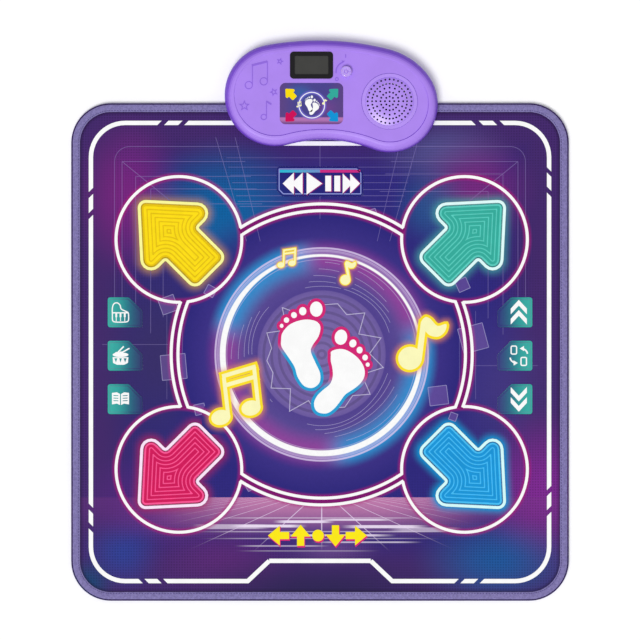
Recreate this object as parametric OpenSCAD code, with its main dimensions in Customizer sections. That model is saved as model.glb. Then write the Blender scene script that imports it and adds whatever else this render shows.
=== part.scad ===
// Dance rhythm machine: a square electronic dance mat with a control box on its rear edge.
// Millimetres. +Z is up and +Y is to the rear. The origin lies under the middle of the whole part.

/* [Mat] */
// Side of the square mat
mat_size = 800; // [770:5:830]
// Radius of the mat's outer corners
corner_r = 64; // [50:2:80]
// Width of the bound edge
bind_w = 14.5; // [12:0.5:18]
// Thickness of the binding where it lies flat
tape_t = 0.6; // [0.4:0.1:0.8]
// Thickness of the binding round the side
side_t = 0.8; // [0.6:0.1:1.2]
// Thickness of the non-slip base sheet
base_t = 0.8; // [0.6:0.1:1.2]
// Thickness of the foam core
foam_t = 4.2; // [3.6:0.2:6]
// Thickness of each membrane film
film_t = 0.3; // [0.2:0.05:0.4]
// Thickness of the spacer foam, which sets how far a pad can be pressed
spacer_t = 1.5; // [1.5:0.1:2]
// Thickness of the printed top sheet
sheet_t = 1; // [0.8:0.1:1.4]

/* [Arrow pads] */
// Free gap round every pad
pad_gap = 0.3; // [0.3:0.1:0.6]
// Depth of the arrow's head, from its tip to its barbs
head_len = 101.5; // [95:0.5:106]
// Width across the barbs
head_w = 184; // [170:1:190]
// Length of the whole arrow
arrow_len = 168.6; // [160:0.5:175]
// Width of the arrow's shaft
shaft_w = 75; // [72:1:80]
// Rounding of the tip
tip_r = 13; // [10:0.5:15]
// Rounding of the barbs
barb_r = 17.5; // [12:0.5:18]
// Rounding of the shaft's end
tail_r = 14.5; // [10:0.5:18]
// Rounding of the inner notches
notch_r = 2; // [1.5:0.5:4]
// Width of the raised rim
rim_w = 5.8; // [4:0.2:7]
// Height of the rim above the pad's skin
rim_h = 1.2; // [0.8:0.1:1.6]
// Width of each raised ridge inside the rim
ridge_w = 4.25; // [3.6:0.05:4.8]
// Width of the groove between two ridges
groove_w = 1.9; // [1.4:0.1:2.4]
// Height of the ridges above the pad's skin
ridge_h = 0.9; // [0.6:0.1:1.2]
// Height of the groove bottoms above the pad's skin
groove_h = 0.4; // [0.2:0.1:0.5]
// Width of the dished line between the rim and the ridges
line_w = 3.9; // [1:0.1:4.5]
// Number of ridges
ridges = 7; // [3:1:8]
// Distance of each arrow's tip from the mat's side
tip_side = 103.5; // [95:0.5:115]
// Distance of each arrow's tip from the mat's front or rear edge
tip_end = 151; // [140:0.5:160]
// How far the contact patch stays inside the arrow's outline
patch_in = 4; // [3:0.5:8]
// Offset of the print from the middle of the mat, across
art_x = 3; // [0:0.5:4]
// Offset of the print from the middle of the mat, to the front
art_y = 4; // [0:0.5:6]

/* [Function pads] */
// Width of the start pad
start_w = 138.6; // [120:1:150]
// Depth of the start pad
start_d = 47.3; // [40:1:52]
// Distance of the start pad's centre from the mat's rear edge
start_back = 126; // [122:1:130]
// Cut of the start pad's two cut corners
start_cut = 9; // [5:1:14]
// Width of each side pad
tab_w = 56; // [48:1:60]
// Depth of each side pad
tab_d = 48; // [42:1:56]
// Cut of each side pad's inner rear corner
tab_cut = 22; // [16:1:26]
// Distance from one side pad to the next
tab_pitch = 69.7; // [62:1:76]
// Distance of the side pads' outer edges from the mat's side
tab_side = 59; // [55:1:70]
// How far the middle side pads lie in front of the middle of the mat
tab_back = 6; // [0:1:10]
// Rounding of the function pads' corners
key_r = 4; // [2:0.5:6]
// Raised field on each function pad
key_h = 0.4; // [0.2:0.1:0.6]
// How far that field stays inside the pad's edge
key_in = 2.4; // [1.5:0.1:4]

/* [Control box outline] */
// Centre of the left lobe, from the middle of the mat
left_x = -71.5; // [-78:0.5:-70]
// Centre of the left lobe, behind the mat's rear edge
left_y = 12; // [10:0.5:16]
// Radius of the left lobe
left_r = 81.5; // [79:0.5:84]
// Centre of the right lobe, from the middle of the mat
right_x = 112; // [106:0.5:114]
// Centre of the right lobe, behind the mat's rear edge
right_y = -2.5; // [-4:0.5:3]
// Radius of the right lobe
right_r = 77; // [76:0.5:82]
// Radius of the arc that eases the right lobe into the rear
ease_r = 115; // [108:1:125]
// Direction in which the right lobe passes into that arc
ease_a = 37.5; // [34:0.5:42]
// Radius of the rear arc
back_r = 458; // [430:2:500]
// Radius of the hollow front
waist_r = 214; // [200:2:240]

/* [Control box shells] */
// Wall of the two housings
wall = 2.5; // [2:0.1:2.8]
// Gap between the mat's edge and the tub behind it
tub_gap = 1; // [0.5:0.1:2]
// Gap between the binding and the ledge over it
ledge_gap = 0.1; // [0.1:0.05:0.3]
// Height of the parting line above the ledge
ledge_h = 5.2; // [4.6:0.2:6.6]
// Upright part of the upper housing's wall
skirt_h = 5; // [3:0.5:6]
// Radius of the upper housing's shoulder
shoulder_r = 15; // [14:0.5:17]
// Width of the slope from the shoulder down to the panel
slope_w = 1.2; // [0.8:0.1:1.6]
// How far the panel lies below the shoulder's crest
panel_drop = 0.8; // [0.5:0.1:1.2]
// Bevel round the tub's foot
foot_cut = 1.5; // [1:0.1:2]
// Height of the inner lip that locates the two housings
lip_h = 2; // [1.5:0.1:3]
// Thickness of that lip
lip_t = 1.2; // [1:0.1:1.5]
// Slip clearance between seated parts
slip = 0.1; // [0.05:0.05:0.2]
// Height of the raised marks on the panel
mark_h = 0.5; // [0.3:0.1:0.8]
// Line width of the raised marks
mark_w = 1.3; // [1:0.1:1.8]

/* [Display] */
// Centre of the display, from the middle of the mat
disp_x = -13.6; // [-15:0.2:-12]
// Centre of the display, behind the mat's rear edge
disp_y = 59; // [57:0.5:61]
// Width of the bezel
bezel_w = 68.9; // [66:0.5:70]
// Depth of the bezel
bezel_d = 43.2; // [42:0.2:45]
// Corner radius of the bezel
bezel_r = 5.9; // [4:0.1:7]
// Width of the window
window_w = 53.7; // [50:0.5:56]
// Depth of the window
window_d = 29.4; // [27:0.2:31]
// Height of the bezel above the panel
bezel_up = 0.9; // [0.5:0.1:1.5]
// How deep the bezel is let into the panel
bezel_in = 1.5; // [1.2:0.1:1.8]
// Thickness of the clear window
window_t = 1.2; // [0.8:0.1:1.3]
// Thickness of the printed label plate
label_t = 0.7; // [0.5:0.1:1]
// Width of the label plate
label_w = 101.3; // [96:1:104]
// Depth of the label plate
label_d = 65.9; // [60:0.5:67]
// Corner radius of the label plate
label_r = 9; // [6:0.5:11]
// Centre of the label plate, in front of the mat's rear edge
label_y = 2.4; // [1:0.2:4]
// How deep the label plate is let into the panel
label_in = 0.5; // [0.3:0.1:0.6]

/* [Speaker and grille] */
// Centre of the grille, from the middle of the mat
grille_x = 111.3; // [110:0.5:114]
// Centre of the grille, behind the mat's rear edge
grille_y = 1.2; // [0:0.2:3]
// Radius of the grille's rim
grille_r = 45; // [43:0.5:46]
// Radius of the domed field
dome_r = 39; // [37:0.5:40]
// Radius of the flat top of the dome
crown_r = 16; // [15.5:0.5:18]
// Rise of the dome
dome_rise = 3.4; // [2.5:0.1:4.5]
// Depth of the field's edge below the rim
field_in = 0.7; // [0.4:0.1:1]
// Thickness of the domed field
dome_t = 1.8; // [1.4:0.1:2.2]
// Diameter of each sound hole
hole_d = 3.1; // [2:0.1:3.4]
// Radius of the speaker's flange
speaker_r = 31.5; // [31:0.1:32]
// Depth of the speaker below its flange
speaker_h = 13; // [11:0.5:14]

/* [Power switch] */
// Centre of the knob, from the middle of the mat
knob_x = 41.8; // [40:0.2:44]
// Centre of the knob, behind the mat's rear edge
knob_y = 48.4; // [46:0.2:50]
// Radius of the knob
knob_r = 9.3; // [8:0.1:10]
// Height of the knob above its running gap
knob_h = 8; // [6:0.5:10]
// Running gap between the knob and the panel
knob_gap = 0.4; // [0.3:0.1:0.8]
// Diameter of the switch's shaft
shaft_d = 6; // [5:0.5:6.5]
// Side of the switch's body
switch_w = 20; // [18:0.5:22]
// Height of the switch's body
switch_h = 7.4; // [6:0.2:8]

/* [Battery bay] */
// Diameter of a cell
cell_d = 14.2; // [13.8:0.1:14.5]
// Length of a cell without its tip
cell_len = 49.2; // [48.5:0.1:49.5]
// Distance from one cell to the next
cell_pitch = 15.6; // [15:0.1:16]
// Middle of the battery bay, from the middle of the mat
bay_x = -82.5; // [-84:0.5:-81]
// Front end of the battery bay, behind the mat's rear edge
bay_y = 10; // [9:0.5:12]
// Length of the battery bay
bay_len = 56; // [55:0.5:58]
// Wall of the battery bay
bay_wall = 1.5; // [1.2:0.1:1.8]
// Thickness of the battery door
door_t = 2; // [1.8:0.1:2.2]
// Gap round the battery door
door_gap = 0.4; // [0.3:0.05:0.6]

/* [Boards and screws] */
// Width of the main board
board_w = 102; // [96:1:104]
// Depth of the main board
board_d = 80; // [76:1:82]
// Centre of the main board, from the middle of the mat
board_x = 9; // [7:0.5:11]
// Centre of the main board, behind the mat's rear edge
board_y = 37; // [35:0.5:38]
// Thickness of a circuit board
board_t = 1.6; // [1:0.1:1.6]
// Height of the main board's underside above the tub's floor
board_up = 14.5; // [14:0.5:16]
// Diameter of the screws' shanks
screw_d = 3; // [2.6:0.1:3.2]
// Diameter of the screws' heads
screw_head = 5.6; // [5:0.1:6]
// Length of the clamp plate under the mat
clamp_w = 290; // [284:1:300]
// Depth of the clamp plate under the mat
clamp_d = 26; // [20:1:30]
// Thickness of the clamp plate
clamp_t = 1.6; // [1.2:0.1:1.8]
// Distance of the clamp plate in front of the mat's rear edge
clamp_y = 39; // [36:1:41]
// Width of the membrane's tail
tail_w = 36; // [30:1:40]

/* [Hidden] */
$fn = 64;

// Heights of the mat's layers
foam_z = base_t;
low_z = foam_z + foam_t;
spacer_z = low_z + film_t;
up_z = spacer_z + spacer_t;
sheet_z = up_z + film_t;
skin_z = sheet_z + sheet_t;
bind_z = skin_z + tape_t;
// Heights of the control box
ledge_z = bind_z + ledge_gap;
part_z = ledge_z + ledge_h;
crest_z = part_z + skirt_h + shoulder_r;
panel_z = crest_z - panel_drop;
under_z = crest_z - wall - panel_drop;
floor_z = wall;
board_z = floor_z + board_up;
board_top = board_z + board_t;
// Cut edges of the base sheet, inside the binding
bind_slack = 0.3;
step_in = bind_w + bind_slack;
// Arrow: length of the head's front side, middle of the notch's rounding, and the deepest inset
head_side = norm([head_len, head_w/2]);
notch_c = [-head_len - notch_r, shaft_w/2 + notch_r];
tip_slope = 2*head_side/head_w;
deep_b = notch_r - tip_slope*notch_c.x;
deep_a = tip_slope*tip_slope - 1;
arrow_deep = (deep_b - sqrt(deep_b*deep_b - deep_a*(notch_c*notch_c - notch_r*notch_r)))/deep_a;
least_r = 1;
arc_steps = 6;
ridge_pitch = ridge_w + groove_w;
// Function pad outlines, each round its own centre
START_KEY = [[-start_w/2, -start_d/2 + start_cut], [-start_w/2 + start_cut, -start_d/2],
             [start_w/2, -start_d/2], [start_w/2, start_d/2 - start_cut],
             [start_w/2 - start_cut, start_d/2], [-start_w/2, start_d/2]];
TAB_KEY = [[-tab_w/2, -tab_d/2], [tab_w/2, -tab_d/2], [tab_w/2, tab_d/2 - tab_cut],
           [tab_w/2 - tab_cut, tab_d/2], [-tab_w/2, tab_d/2]];
tab_cx = mat_size/2 - tab_side - tab_w/2;
// Centre and corner list of every function pad; 1 mirrors the outline for the right side
START = [0, mat_size/2 - start_back, 0];
TABS_LEFT = [for (i = [1, 0, -1]) [-tab_cx, i*tab_pitch - tab_back, 0]];
TABS_RIGHT = [for (i = [1, 0, -1]) [tab_cx, i*tab_pitch - tab_back, 1]];
ARROWS = [[-1, 1], [1, 1], [-1, -1], [1, -1]];
// Arcs of the control box: centre, radius, first and last angle, and 1 for a convex arc
left_c = [left_x, left_y];
right_c = [right_x, right_y];
ease_c = right_c - (ease_r - right_r)*[cos(ease_a), sin(ease_a)];
back_c = meet(left_c, back_r - left_r, ease_c, back_r - ease_r);
waist_c = meet(left_c, waist_r + left_r, right_c, waist_r + right_r);
BEAN = [[right_c, right_r, heading(right_c, waist_c), ease_a, 1],
        [ease_c, ease_r, ease_a, heading(back_c, ease_c), 1],
        [back_c, back_r, heading(back_c, ease_c), heading(back_c, left_c), 1],
        [left_c, left_r, heading(back_c, left_c), heading(left_c, waist_c) + 360, 1],
        [waist_c, waist_r, heading(waist_c, right_c), heading(waist_c, left_c), -1]];
// Length of one facet of the outline
facet = 7.3;
overhang = back_c.y + back_r;
mat_y = -overhang/2;
edge_y = mat_y + mat_size/2;
// Radius of the dome's section
dome_arc = (pow(dome_r - crown_r, 2) + pow(dome_rise, 2))/(2*dome_rise);
// Rings of sound holes: how many holes, and the ring's share of the dome's radius
RINGS = [[1, 0], [8, 0.19], [16, 0.372], [16, 0.556], [32, 0.721], [32, 0.902]];
// Where the rear housing screws and the clamp screws stand, from the mat's rear edge
HOUSING_SCREWS = [[-130, 40], [-48, 87], [70, 82], [160, 36]];
clamp_x = 19;
clamp_end = clamp_w/2 - clamp_d/2 - 1;
CLAMP_SCREWS = [for (x = [-clamp_end, -clamp_w/6, clamp_w/6, clamp_end]) [clamp_x + x, -clamp_y]];
boss_d = screw_d + 4;
boss_cut = 6;
boss_top = 10;
bite = 9;
head_h = 1.8;
bore_d = screw_d + slip;
pass_d = screw_d + 0.6;
cup_h = head_h + clamp_t;
// Battery bay
cells = 3;
tip_h = 1.2;
tip_d = 5.2;
contact_t = 0.4;
bay_w = (cells - 1)*cell_pitch + cell_d + 2.4;
cell_z = door_t + cell_d/2 + 0.8;
bay_z = cell_z + cell_d/2 + 0.8;
spring_len = bay_len - cell_len - tip_h - 2*contact_t;
tongue_w = 12;
tongue_len = 9.5;
door_screw_y = bay_y + bay_len + tongue_len - 4.5;
tab_reach = 2;
door_tab_w = 8;
// Raised notes as x, y, head radius and stem, and stars as x, y, radius and turn
NOTES = [[-114, 27, 6.5, 32], [-90, 33, 6.5, 32], [-90, -24, 5, 26]];
STARS = [[-121, -6, 9, 18], [-74, 16, 7, 40], [-64, 65, 6, 0]];
// Radius of the knob's raised crescent
mark_r = 16.3;

// Tail of the membrane, and its connector
tail_x = 10;
tail_y = -bind_w - 4;
tail_run = 15;
connector_d = 6;
connector_h = 4.6;
// Display module and its posts
post_d = 4;
module_w = 64;
module_d = 42;
glass_gap = 0.3;
module_z = under_z - 5.5;
// Grille pins, crown of the dome, seat of the speaker
pin_d = 1.8;
crown_z = dome_rise - field_in;
seat_z = -dome_t - field_in - 1;
// Knob socket and the foot of its shaft
socket_h = 5;
shaft_z = board_top + 1.5;
// Posts under the board, from its edges
post_side = 5;
post_end = 9;
board_posts = [for (x = [-1, 1], y = [-1, 1])
    [board_x + x*(board_w/2 - post_side), board_y + y*(board_d/2 - post_end)]];
// Parts on the board: share of the board's width and depth from its middle, and size
chip_w = 12;
plug_w = 22;
part_h = 1.5;
plug_h = 5;
plug_x = board_x - board_w/2 + 2;
plug_y = board_y + 9;
board_end = board_x + board_w/2;
lead_r = 0.8;
CHIPS = [[[-0.03, -0.11], [chip_w, chip_w, part_h]],
         [[-0.225, -0.19], [chip_w*2/3, chip_w*0.4, part_h]],
         [[0.186, -0.19], [chip_w*0.4, chip_w/4, part_h]],
         [[0.46, -0.19], [plug_h, chip_w*2/3, plug_h]]];
CAPS = [[[-0.32, -0.36], chip_w*2/3, chip_w*3/4], [[0.34, -0.31], chip_w/2, chip_w*0.6]];

// Geometry helpers
function heading(a, b) = atan2(b.y - a.y, b.x - a.x);
// The point at distance rp from p and rq from q, on the right of the way from p to q
function meet(p, rp, q, rq) =
    let (d = norm(q - p), u = (q - p)/d, a = (rp*rp - rq*rq + d*d)/(2*d))
    p + a*u + sqrt(rp*rp - a*a)*[u.y, -u.x];
function arc(c, r, a0, a1, n) = [for (i = [0:n]) let (a = a0 + (a1 - a0)*i/n) c + r*[cos(a), sin(a)]];
// A polygon moved in by d
function inset(p, d) =
    let (n = len(p))
    [for (i = [0:n - 1])
        let (u = unit(p[i] - p[(i + n - 1)%n]), v = unit(p[(i + 1)%n] - p[i]))
        p[i] + d*([-u.y, u.x] + [-v.y, v.x])/(1 + u*v)];
function unit(v) = v/norm(v);
// A polygon with its corners rounded to the radii in r, by arcs of n steps; a corner of radius 0 stays
function rounded(p, r, n) =
    let (m = len(p))
    [for (i = [0:m - 1])
        let (u = unit(p[i] - p[(i + m - 1)%m]), v = unit(p[(i + 1)%m] - p[i]),
             turn = acos(u*v), side = u.x*v.y - u.y*v.x > 0 ? 1 : -1,
             start = p[i] - r[i]*tan(turn/2)*u, c = start + side*r[i]*[-u.y, u.x])
        each r[i] > 0 ? arc(c, r[i], heading(c, start), heading(c, start) + side*turn, n) : [p[i]]];
function box_points(w, d) = [[-w/2, -d/2], [w/2, -d/2], [w/2, d/2], [-w/2, d/2]];
function even(n, v) = [for (i = [0:n - 1]) v];
// The arrow's outline moved in by d: its convex corners sharpen, its notches widen, and past half
// of the shaft's width only the head is left
function arrow_points(d) =
    let (u = [-head_len, head_w/2]/head_side,
         n = [-u.y, u.x],
         bend_r = notch_r + d,
         barb = [d - head_len, (head_w/2*(head_len - d) - d*head_side)/head_len],
         room = barb.y - notch_c.y,
         full = room > notch_r/4,
         h = notch_c*n - d,
         corner = full ? barb : notch_c - h*n - sqrt(bend_r*bend_r - h*h)*u,
         shaft = shaft_w/2 - d,
         open = shaft > least_r/2,
         first = full ? 0 : heading(notch_c, corner),
         last = open ? -90 : -asin(notch_c.y/bend_r),
         bend = [for (i = [full ? 0 : 1:arc_steps + 2])
             let (a = first + (last - first)*i/(arc_steps + 2)) notch_c + bend_r*[cos(a), sin(a)]],
         half = concat([corner], bend, open ? [[d - arrow_len, shaft]] : []),
         radii = concat([full ? min(max(barb_r - d, least_r), room/2.5) : 0], [for (p = bend) 0],
                        open ? [min(max(tail_r - d, least_r), shaft)] : []),
         back = [for (i = [len(half) - 1:-1:0]) if (half[i].y > slip/10) i])
    rounded(concat([[-tip_slope*d, 0]], half, [for (i = back) [half[i].x, -half[i].y]]),
            concat([min(max(tip_r - d, least_r), (arrow_deep - d)/2)], radii, [for (i = back) radii[i]]),
            arc_steps);
// The control box's outline moved in by d
function bean_points(d) =
    [for (b = BEAN)
        let (n = ceil(b[1]*(b[3] - b[2])*PI/180/facet), step = (b[3] - b[2])/n)
        for (i = [0:n - 1])
            let (a = b[4] > 0 ? b[2] + i*step : b[3] - i*step) b[0] + (b[1] - b[4]*d)*[cos(a), sin(a)]];
// One ring of n points round the route's point p, square to the direction t
function tube_ring(p, t, r, n) =
    let (a = unit(cross([0.31, 0.23, 0.92], t)), b = unit(cross(t, a)))
    [for (i = [0:n - 1]) p + r*(cos(360*i/n)*a + sin(360*i/n)*b)];

module rrect(w, d, r, n = 8) polygon(rounded(box_points(w, d), even(4, r), n));
module mat_shape(d) rrect(mat_size - 2*d, mat_size - 2*d, corner_r - d, 20);
module layer(z, t) translate([0, mat_y, z]) linear_extrude(t) children();
module at_box(z = 0) translate([0, edge_y, z]) children();
// A solid tube along the points of a route
module tube(route, r, n = 8) {
    m = len(route);
    rings = [for (i = [0:m - 1])
        each tube_ring(route[i], unit(route[min(i + 1, m - 1)] - route[max(i - 1, 0)]), r, n)];
    sides = [for (i = [0:m - 2], j = [0:n - 1])
        [i*n + j, i*n + (j + 1)%n, (i + 1)*n + (j + 1)%n, (i + 1)*n + j]];
    polyhedron(rings, concat([[for (j = [n - 1:-1:0]) j]], sides, [[for (j = [0:n - 1]) (m - 1)*n + j]]));
}

// Outlines of the pads on the mat
module arrow_at(i, d)
    translate([art_x, -art_y])
        translate([ARROWS[i].x*(mat_size/2 - tip_side), ARROWS[i].y*(mat_size/2 - tip_end)])
            rotate(heading([0, 0], ARROWS[i])) polygon(arrow_points(d));
module key_at(key, at, d) {
    pts = rounded(inset(key, d), even(len(key), max(key_r - d, 1)), 4);
    translate([at[0], at[1]]) mirror([at[2], 0]) polygon(pts);
}
// All pad openings of a layer, d wider than the pads
module pad_openings(d) {
    for (i = [0:3]) arrow_at(i, -d);
    key_at(START_KEY, START, -d);
    for (at = concat(TABS_LEFT, TABS_RIGHT)) key_at(TAB_KEY, at, -d);
}
// Holes for the clamp screws, and the slot for the membrane's tail
module screw_holes(d) translate([0, mat_size/2]) for (p = CLAMP_SCREWS) translate(p) circle(d = d);
module tail_slot(front)
    translate([tail_x - tail_w/2 - 1, mat_size/2 + tail_y - front])
        square([tail_w + 2, front + 2*film_t + 1]);

// Mat layers
clamp_r = 6;
module clamp_shape(d)
    translate([clamp_x, mat_size/2 - clamp_y]) rrect(clamp_w + 2*d, clamp_d + 2*d, clamp_r + d);
module base_sheet() color([0.16, 0.15, 0.19]) {
    difference() {
        union() {
            layer(0, base_t) mat_shape(step_in);
            layer(0, tape_t + base_t) difference() {
                mat_shape(step_in);
                mat_shape(step_in + base_t);
            }
            layer(tape_t, base_t) difference() {
                mat_shape(side_t);
                mat_shape(step_in + base_t);
            }
        }
        layer(-1, base_t + 2) clamp_shape(slip);
    }
}
module foam_core() color([0.92, 0.9, 0.86]) {
    cups = base_t + foam_t;
    difference() {
        union() {
            layer(foam_z, foam_t) mat_shape(step_in + base_t);
            layer(tape_t + base_t, foam_t - tape_t) mat_shape(side_t);
        }
        layer(0, clamp_t) clamp_shape(slip);
        layer(0, cup_h) screw_holes(boss_d + 4);
        layer(0, cups + 1) screw_holes(pass_d);
    }
}
module lower_membrane() color([0.8, 0.86, 0.88]) layer(low_z, film_t) difference() {
    mat_shape(side_t);
    screw_holes(pass_d);
}
module spacer_foam() color([0.75, 0.75, 0.8]) layer(spacer_z, spacer_t) difference() {
    mat_shape(side_t);
    pad_openings(pad_gap + 0.5);
    screw_holes(pass_d);
    tail_slot(tail_run + 1);
}
module upper_membrane() color([0.8, 0.86, 0.88]) layer(up_z, film_t) difference() {
    mat_shape(side_t);
    pad_openings(pad_gap);
    screw_holes(pass_d);
    tail_slot(1);
}
module top_sheet() color([0.2, 0.16, 0.47]) layer(sheet_z, sheet_t) difference() {
    mat_shape(side_t);
    pad_openings(pad_gap);
    screw_holes(pass_d);
    tail_slot(1);
}
// The binding folds round the edge of all the layers
module edge_binding() color([0.55, 0.48, 0.72]) {
    layer(0, tape_t) difference() {
        mat_shape(0);
        mat_shape(bind_w);
    }
    layer(0, bind_z) difference() {
        mat_shape(0);
        mat_shape(side_t);
    }
    layer(skin_z, tape_t) difference() {
        mat_shape(0);
        mat_shape(bind_w);
    }
}

// Arrow pads: a skin with a raised rim and ridges that follow the outline
module ridge(i, d0, d1, h) layer(sheet_z, sheet_t + h) difference() {
    arrow_at(i, d0);
    if (d1 > d0) arrow_at(i, d1);
}
module arrow_pad(i) {
    layer(sheet_z, sheet_t + groove_h) arrow_at(i, 0);
    ridge(i, 0, rim_w, rim_h);
    for (n = [0:ridges - 1]) {
        d = rim_w + line_w + n*ridge_pitch;
        last = n == ridges - 1 || d + ridge_pitch > arrow_deep - least_r;
        if (d < arrow_deep - least_r) ridge(i, d, last ? d : d + ridge_w, ridge_h);
    }
}
module arrow_patch(i) color([0.15, 0.15, 0.16]) layer(up_z, film_t) arrow_at(i, patch_in);
module arrow_pad_yellow() color([1, 0.87, 0.05]) arrow_pad(0);
module arrow_pad_green() color([0.2, 0.7, 0.6]) arrow_pad(1);
module arrow_pad_red() color([0.88, 0.06, 0.35]) arrow_pad(2);
module arrow_pad_blue() color([0.06, 0.6, 0.87]) arrow_pad(3);
module arrow_patch_yellow() arrow_patch(0);
module arrow_patch_green() arrow_patch(1);
module arrow_patch_red() arrow_patch(2);
module arrow_patch_blue() arrow_patch(3);

// Function pads: a flush skin with a low raised field
module key_pad(key, at) {
    layer(sheet_z, sheet_t) key_at(key, at, 0);
    layer(skin_z - sheet_t/2, sheet_t/2 + key_h) key_at(key, at, key_in);
}
module key_patch(key, at) color([0.15, 0.15, 0.16]) layer(up_z, film_t) key_at(key, at, key_in);
module start_pad() color([0.2, 0.12, 0.35]) key_pad(START_KEY, START);
module piano_pad() color([0.2, 0.6, 0.62]) key_pad(TAB_KEY, TABS_LEFT[0]);
module drum_pad() color([0.2, 0.6, 0.62]) key_pad(TAB_KEY, TABS_LEFT[1]);
module book_pad() color([0.2, 0.6, 0.62]) key_pad(TAB_KEY, TABS_LEFT[2]);
module up_pad() color([0.2, 0.6, 0.62]) key_pad(TAB_KEY, TABS_RIGHT[0]);
module swap_pad() color([0.2, 0.6, 0.62]) key_pad(TAB_KEY, TABS_RIGHT[1]);
module down_pad() color([0.2, 0.6, 0.62]) key_pad(TAB_KEY, TABS_RIGHT[2]);
module start_patch() key_patch(START_KEY, START);
module piano_patch() key_patch(TAB_KEY, TABS_LEFT[0]);
module drum_patch() key_patch(TAB_KEY, TABS_LEFT[1]);
module book_patch() key_patch(TAB_KEY, TABS_LEFT[2]);
module up_patch() key_patch(TAB_KEY, TABS_RIGHT[0]);
module swap_patch() key_patch(TAB_KEY, TABS_RIGHT[1]);
module down_patch() key_patch(TAB_KEY, TABS_RIGHT[2]);

// Sweeps a closed wall section round the control box: its points are the distance in and the height
module round_bean(section) {
    rings = [for (q = section) [for (p = bean_points(q[0])) [p.x, p.y, q[1]]]];
    m = len(section);
    n = len(rings[0]);
    polyhedron([for (r = rings) each r],
               [for (i = [0:m - 1], j = [0:n - 1])
                   [i*n + j, i*n + (j + 1)%n, (i + 1)%m*n + (j + 1)%n, (i + 1)%m*n + j]]);
}
module bean_plate(z, t, d) translate([0, 0, z]) linear_extrude(t) polygon(bean_points(d));
// Everything in front of the tub's front wall
module front_space(z, h, y) translate([-mat_size/2, y - mat_size, z]) cube([mat_size, mat_size, h]);
module at_points(points, z) for (p = points) translate([p.x, p.y, z]) children();

// Section of the upper housing's wall: upright skirt, quarter-round shoulder, slope to the panel
spring = [shoulder_r, part_z + skirt_h];
SHOULDER = concat([[0, part_z], [wall, part_z]], arc(spring, shoulder_r - wall, 180, 90, 4),
                  [[shoulder_r + slope_w, under_z], [shoulder_r + slope_w, panel_z]],
                  arc(spring, shoulder_r, 90, 180, 8));
// Five-pointed star outline, note and sound arcs raised on the panel
module star_line(r, turn) {
    star = [for (i = [0:9]) (i%2 == 0 ? r : r*0.45)*[cos(36*i + turn), sin(36*i + turn)]];
    difference() {
        polygon(star);
        polygon(inset(star, mark_w));
    }
}
module note_line(r, stem) {
    difference() {
        circle(r);
        circle(r - mark_w);
    }
    translate([r - mark_w, 0]) square([mark_w, stem]);
}
module panel_marks() {
    for (n = NOTES) translate([n[0], n[1]]) note_line(n[2], n[3]);
    for (n = STARS) translate([n[0], n[1]]) star_line(n[2], n[3]);
    // Beam from the first note's stem to the second's, and the third note's flag
    note_end(0) rotate(heading(NOTES[0], NOTES[1])) square([norm(NOTES[1] - NOTES[0]) + 1, 3.4]);
    note_end(2) rotate(-32) square([9, 2.6]);
}
// The foot of what hangs on the top of a note's stem
module note_end(i)
    translate([NOTES[i][0] + NOTES[i][2] - mark_w, NOTES[i][1] + NOTES[i][3] - 2]) children();
// Crescent that swells from off to on, with its arrow head, and plain marks at both ends
module power_marks() {
    difference() {
        circle(mark_r + 0.9);
        translate([0.9, -0.9]) circle(mark_r);
        polygon([[0, 0], 40*[cos(188), sin(188)], [-40, -40], [40, -40], [40, 40], 40*[cos(112), sin(112)]]);
    }
    polygon([for (q = [[mark_r + 3, 112], [mark_r - 1.6, 112], [mark_r + 1.2, 96]]) q[0]*[cos(q[1]), sin(q[1])]]);
    translate([-1.6, 22.5]) square([1.4, 5.4]);
    translate([-15, -11.8]) difference() {
        circle(3);
        circle(3 - mark_w);
    }
}
module pillar(z0) translate([0, 0, z0]) cylinder(d = boss_d, h = under_z + wall/2 - z0);
module top_housing() color([0.68, 0.55, 0.93]) at_box() difference() {
    union() {
        round_bean(SHOULDER);
        bean_plate(under_z, wall, shoulder_r + slope_w/2);
        at_points(HOUSING_SCREWS, 0) pillar(boss_top);
        at_points(CLAMP_SCREWS, 0) pillar(ledge_z + floor_z);
        display_posts();
        translate([0, 0, under_z + wall/2]) linear_extrude(wall/2 + mark_h) {
            panel_marks();
            translate([knob_x, knob_y]) power_marks();
        }
    }
    translate([disp_x, disp_y, panel_z - bezel_in]) linear_extrude(wall)
        rrect(bezel_w + 2*slip, bezel_d + 2*slip, bezel_r + slip);
    translate([disp_x, disp_y, under_z - 1]) linear_extrude(wall + 2)
        rrect(window_w + 4, window_d + 4, 2);
    translate([disp_x, -label_y, panel_z - label_in]) linear_extrude(wall)
        rrect(label_w + 2*slip, label_d + 2*slip, label_r + slip);
    translate([grille_x, grille_y, panel_z - wall/2]) cylinder(r = grille_r + slip, h = wall, $fn = 96);
    translate([grille_x, grille_y, under_z - 1]) cylinder(r = dome_r + 1, h = wall + 2, $fn = 96);
    translate([knob_x, knob_y, under_z - 1]) cylinder(d = shaft_d + 2, h = wall + 2);
    at_points(HOUSING_SCREWS, boss_top - 1) cylinder(d = bore_d, h = bite + 1.5);
    at_points(CLAMP_SCREWS, ledge_z) cylinder(d = bore_d, h = floor_z + bite + 1.5);
    at_points(grille_pins(), under_z - 1) cylinder(d = pin_d + 2*slip, h = wall);
}
// Posts under the panel that carry the display module
module display_posts()
    for (x = [-1, 1], y = [-1, 1])
        translate([disp_x + x*(module_w - post_d)/2, disp_y + y*(module_d - post_d)/2, module_z + board_t])
            cylinder(d = post_d, h = under_z - module_z - board_t + wall/2);

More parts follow.
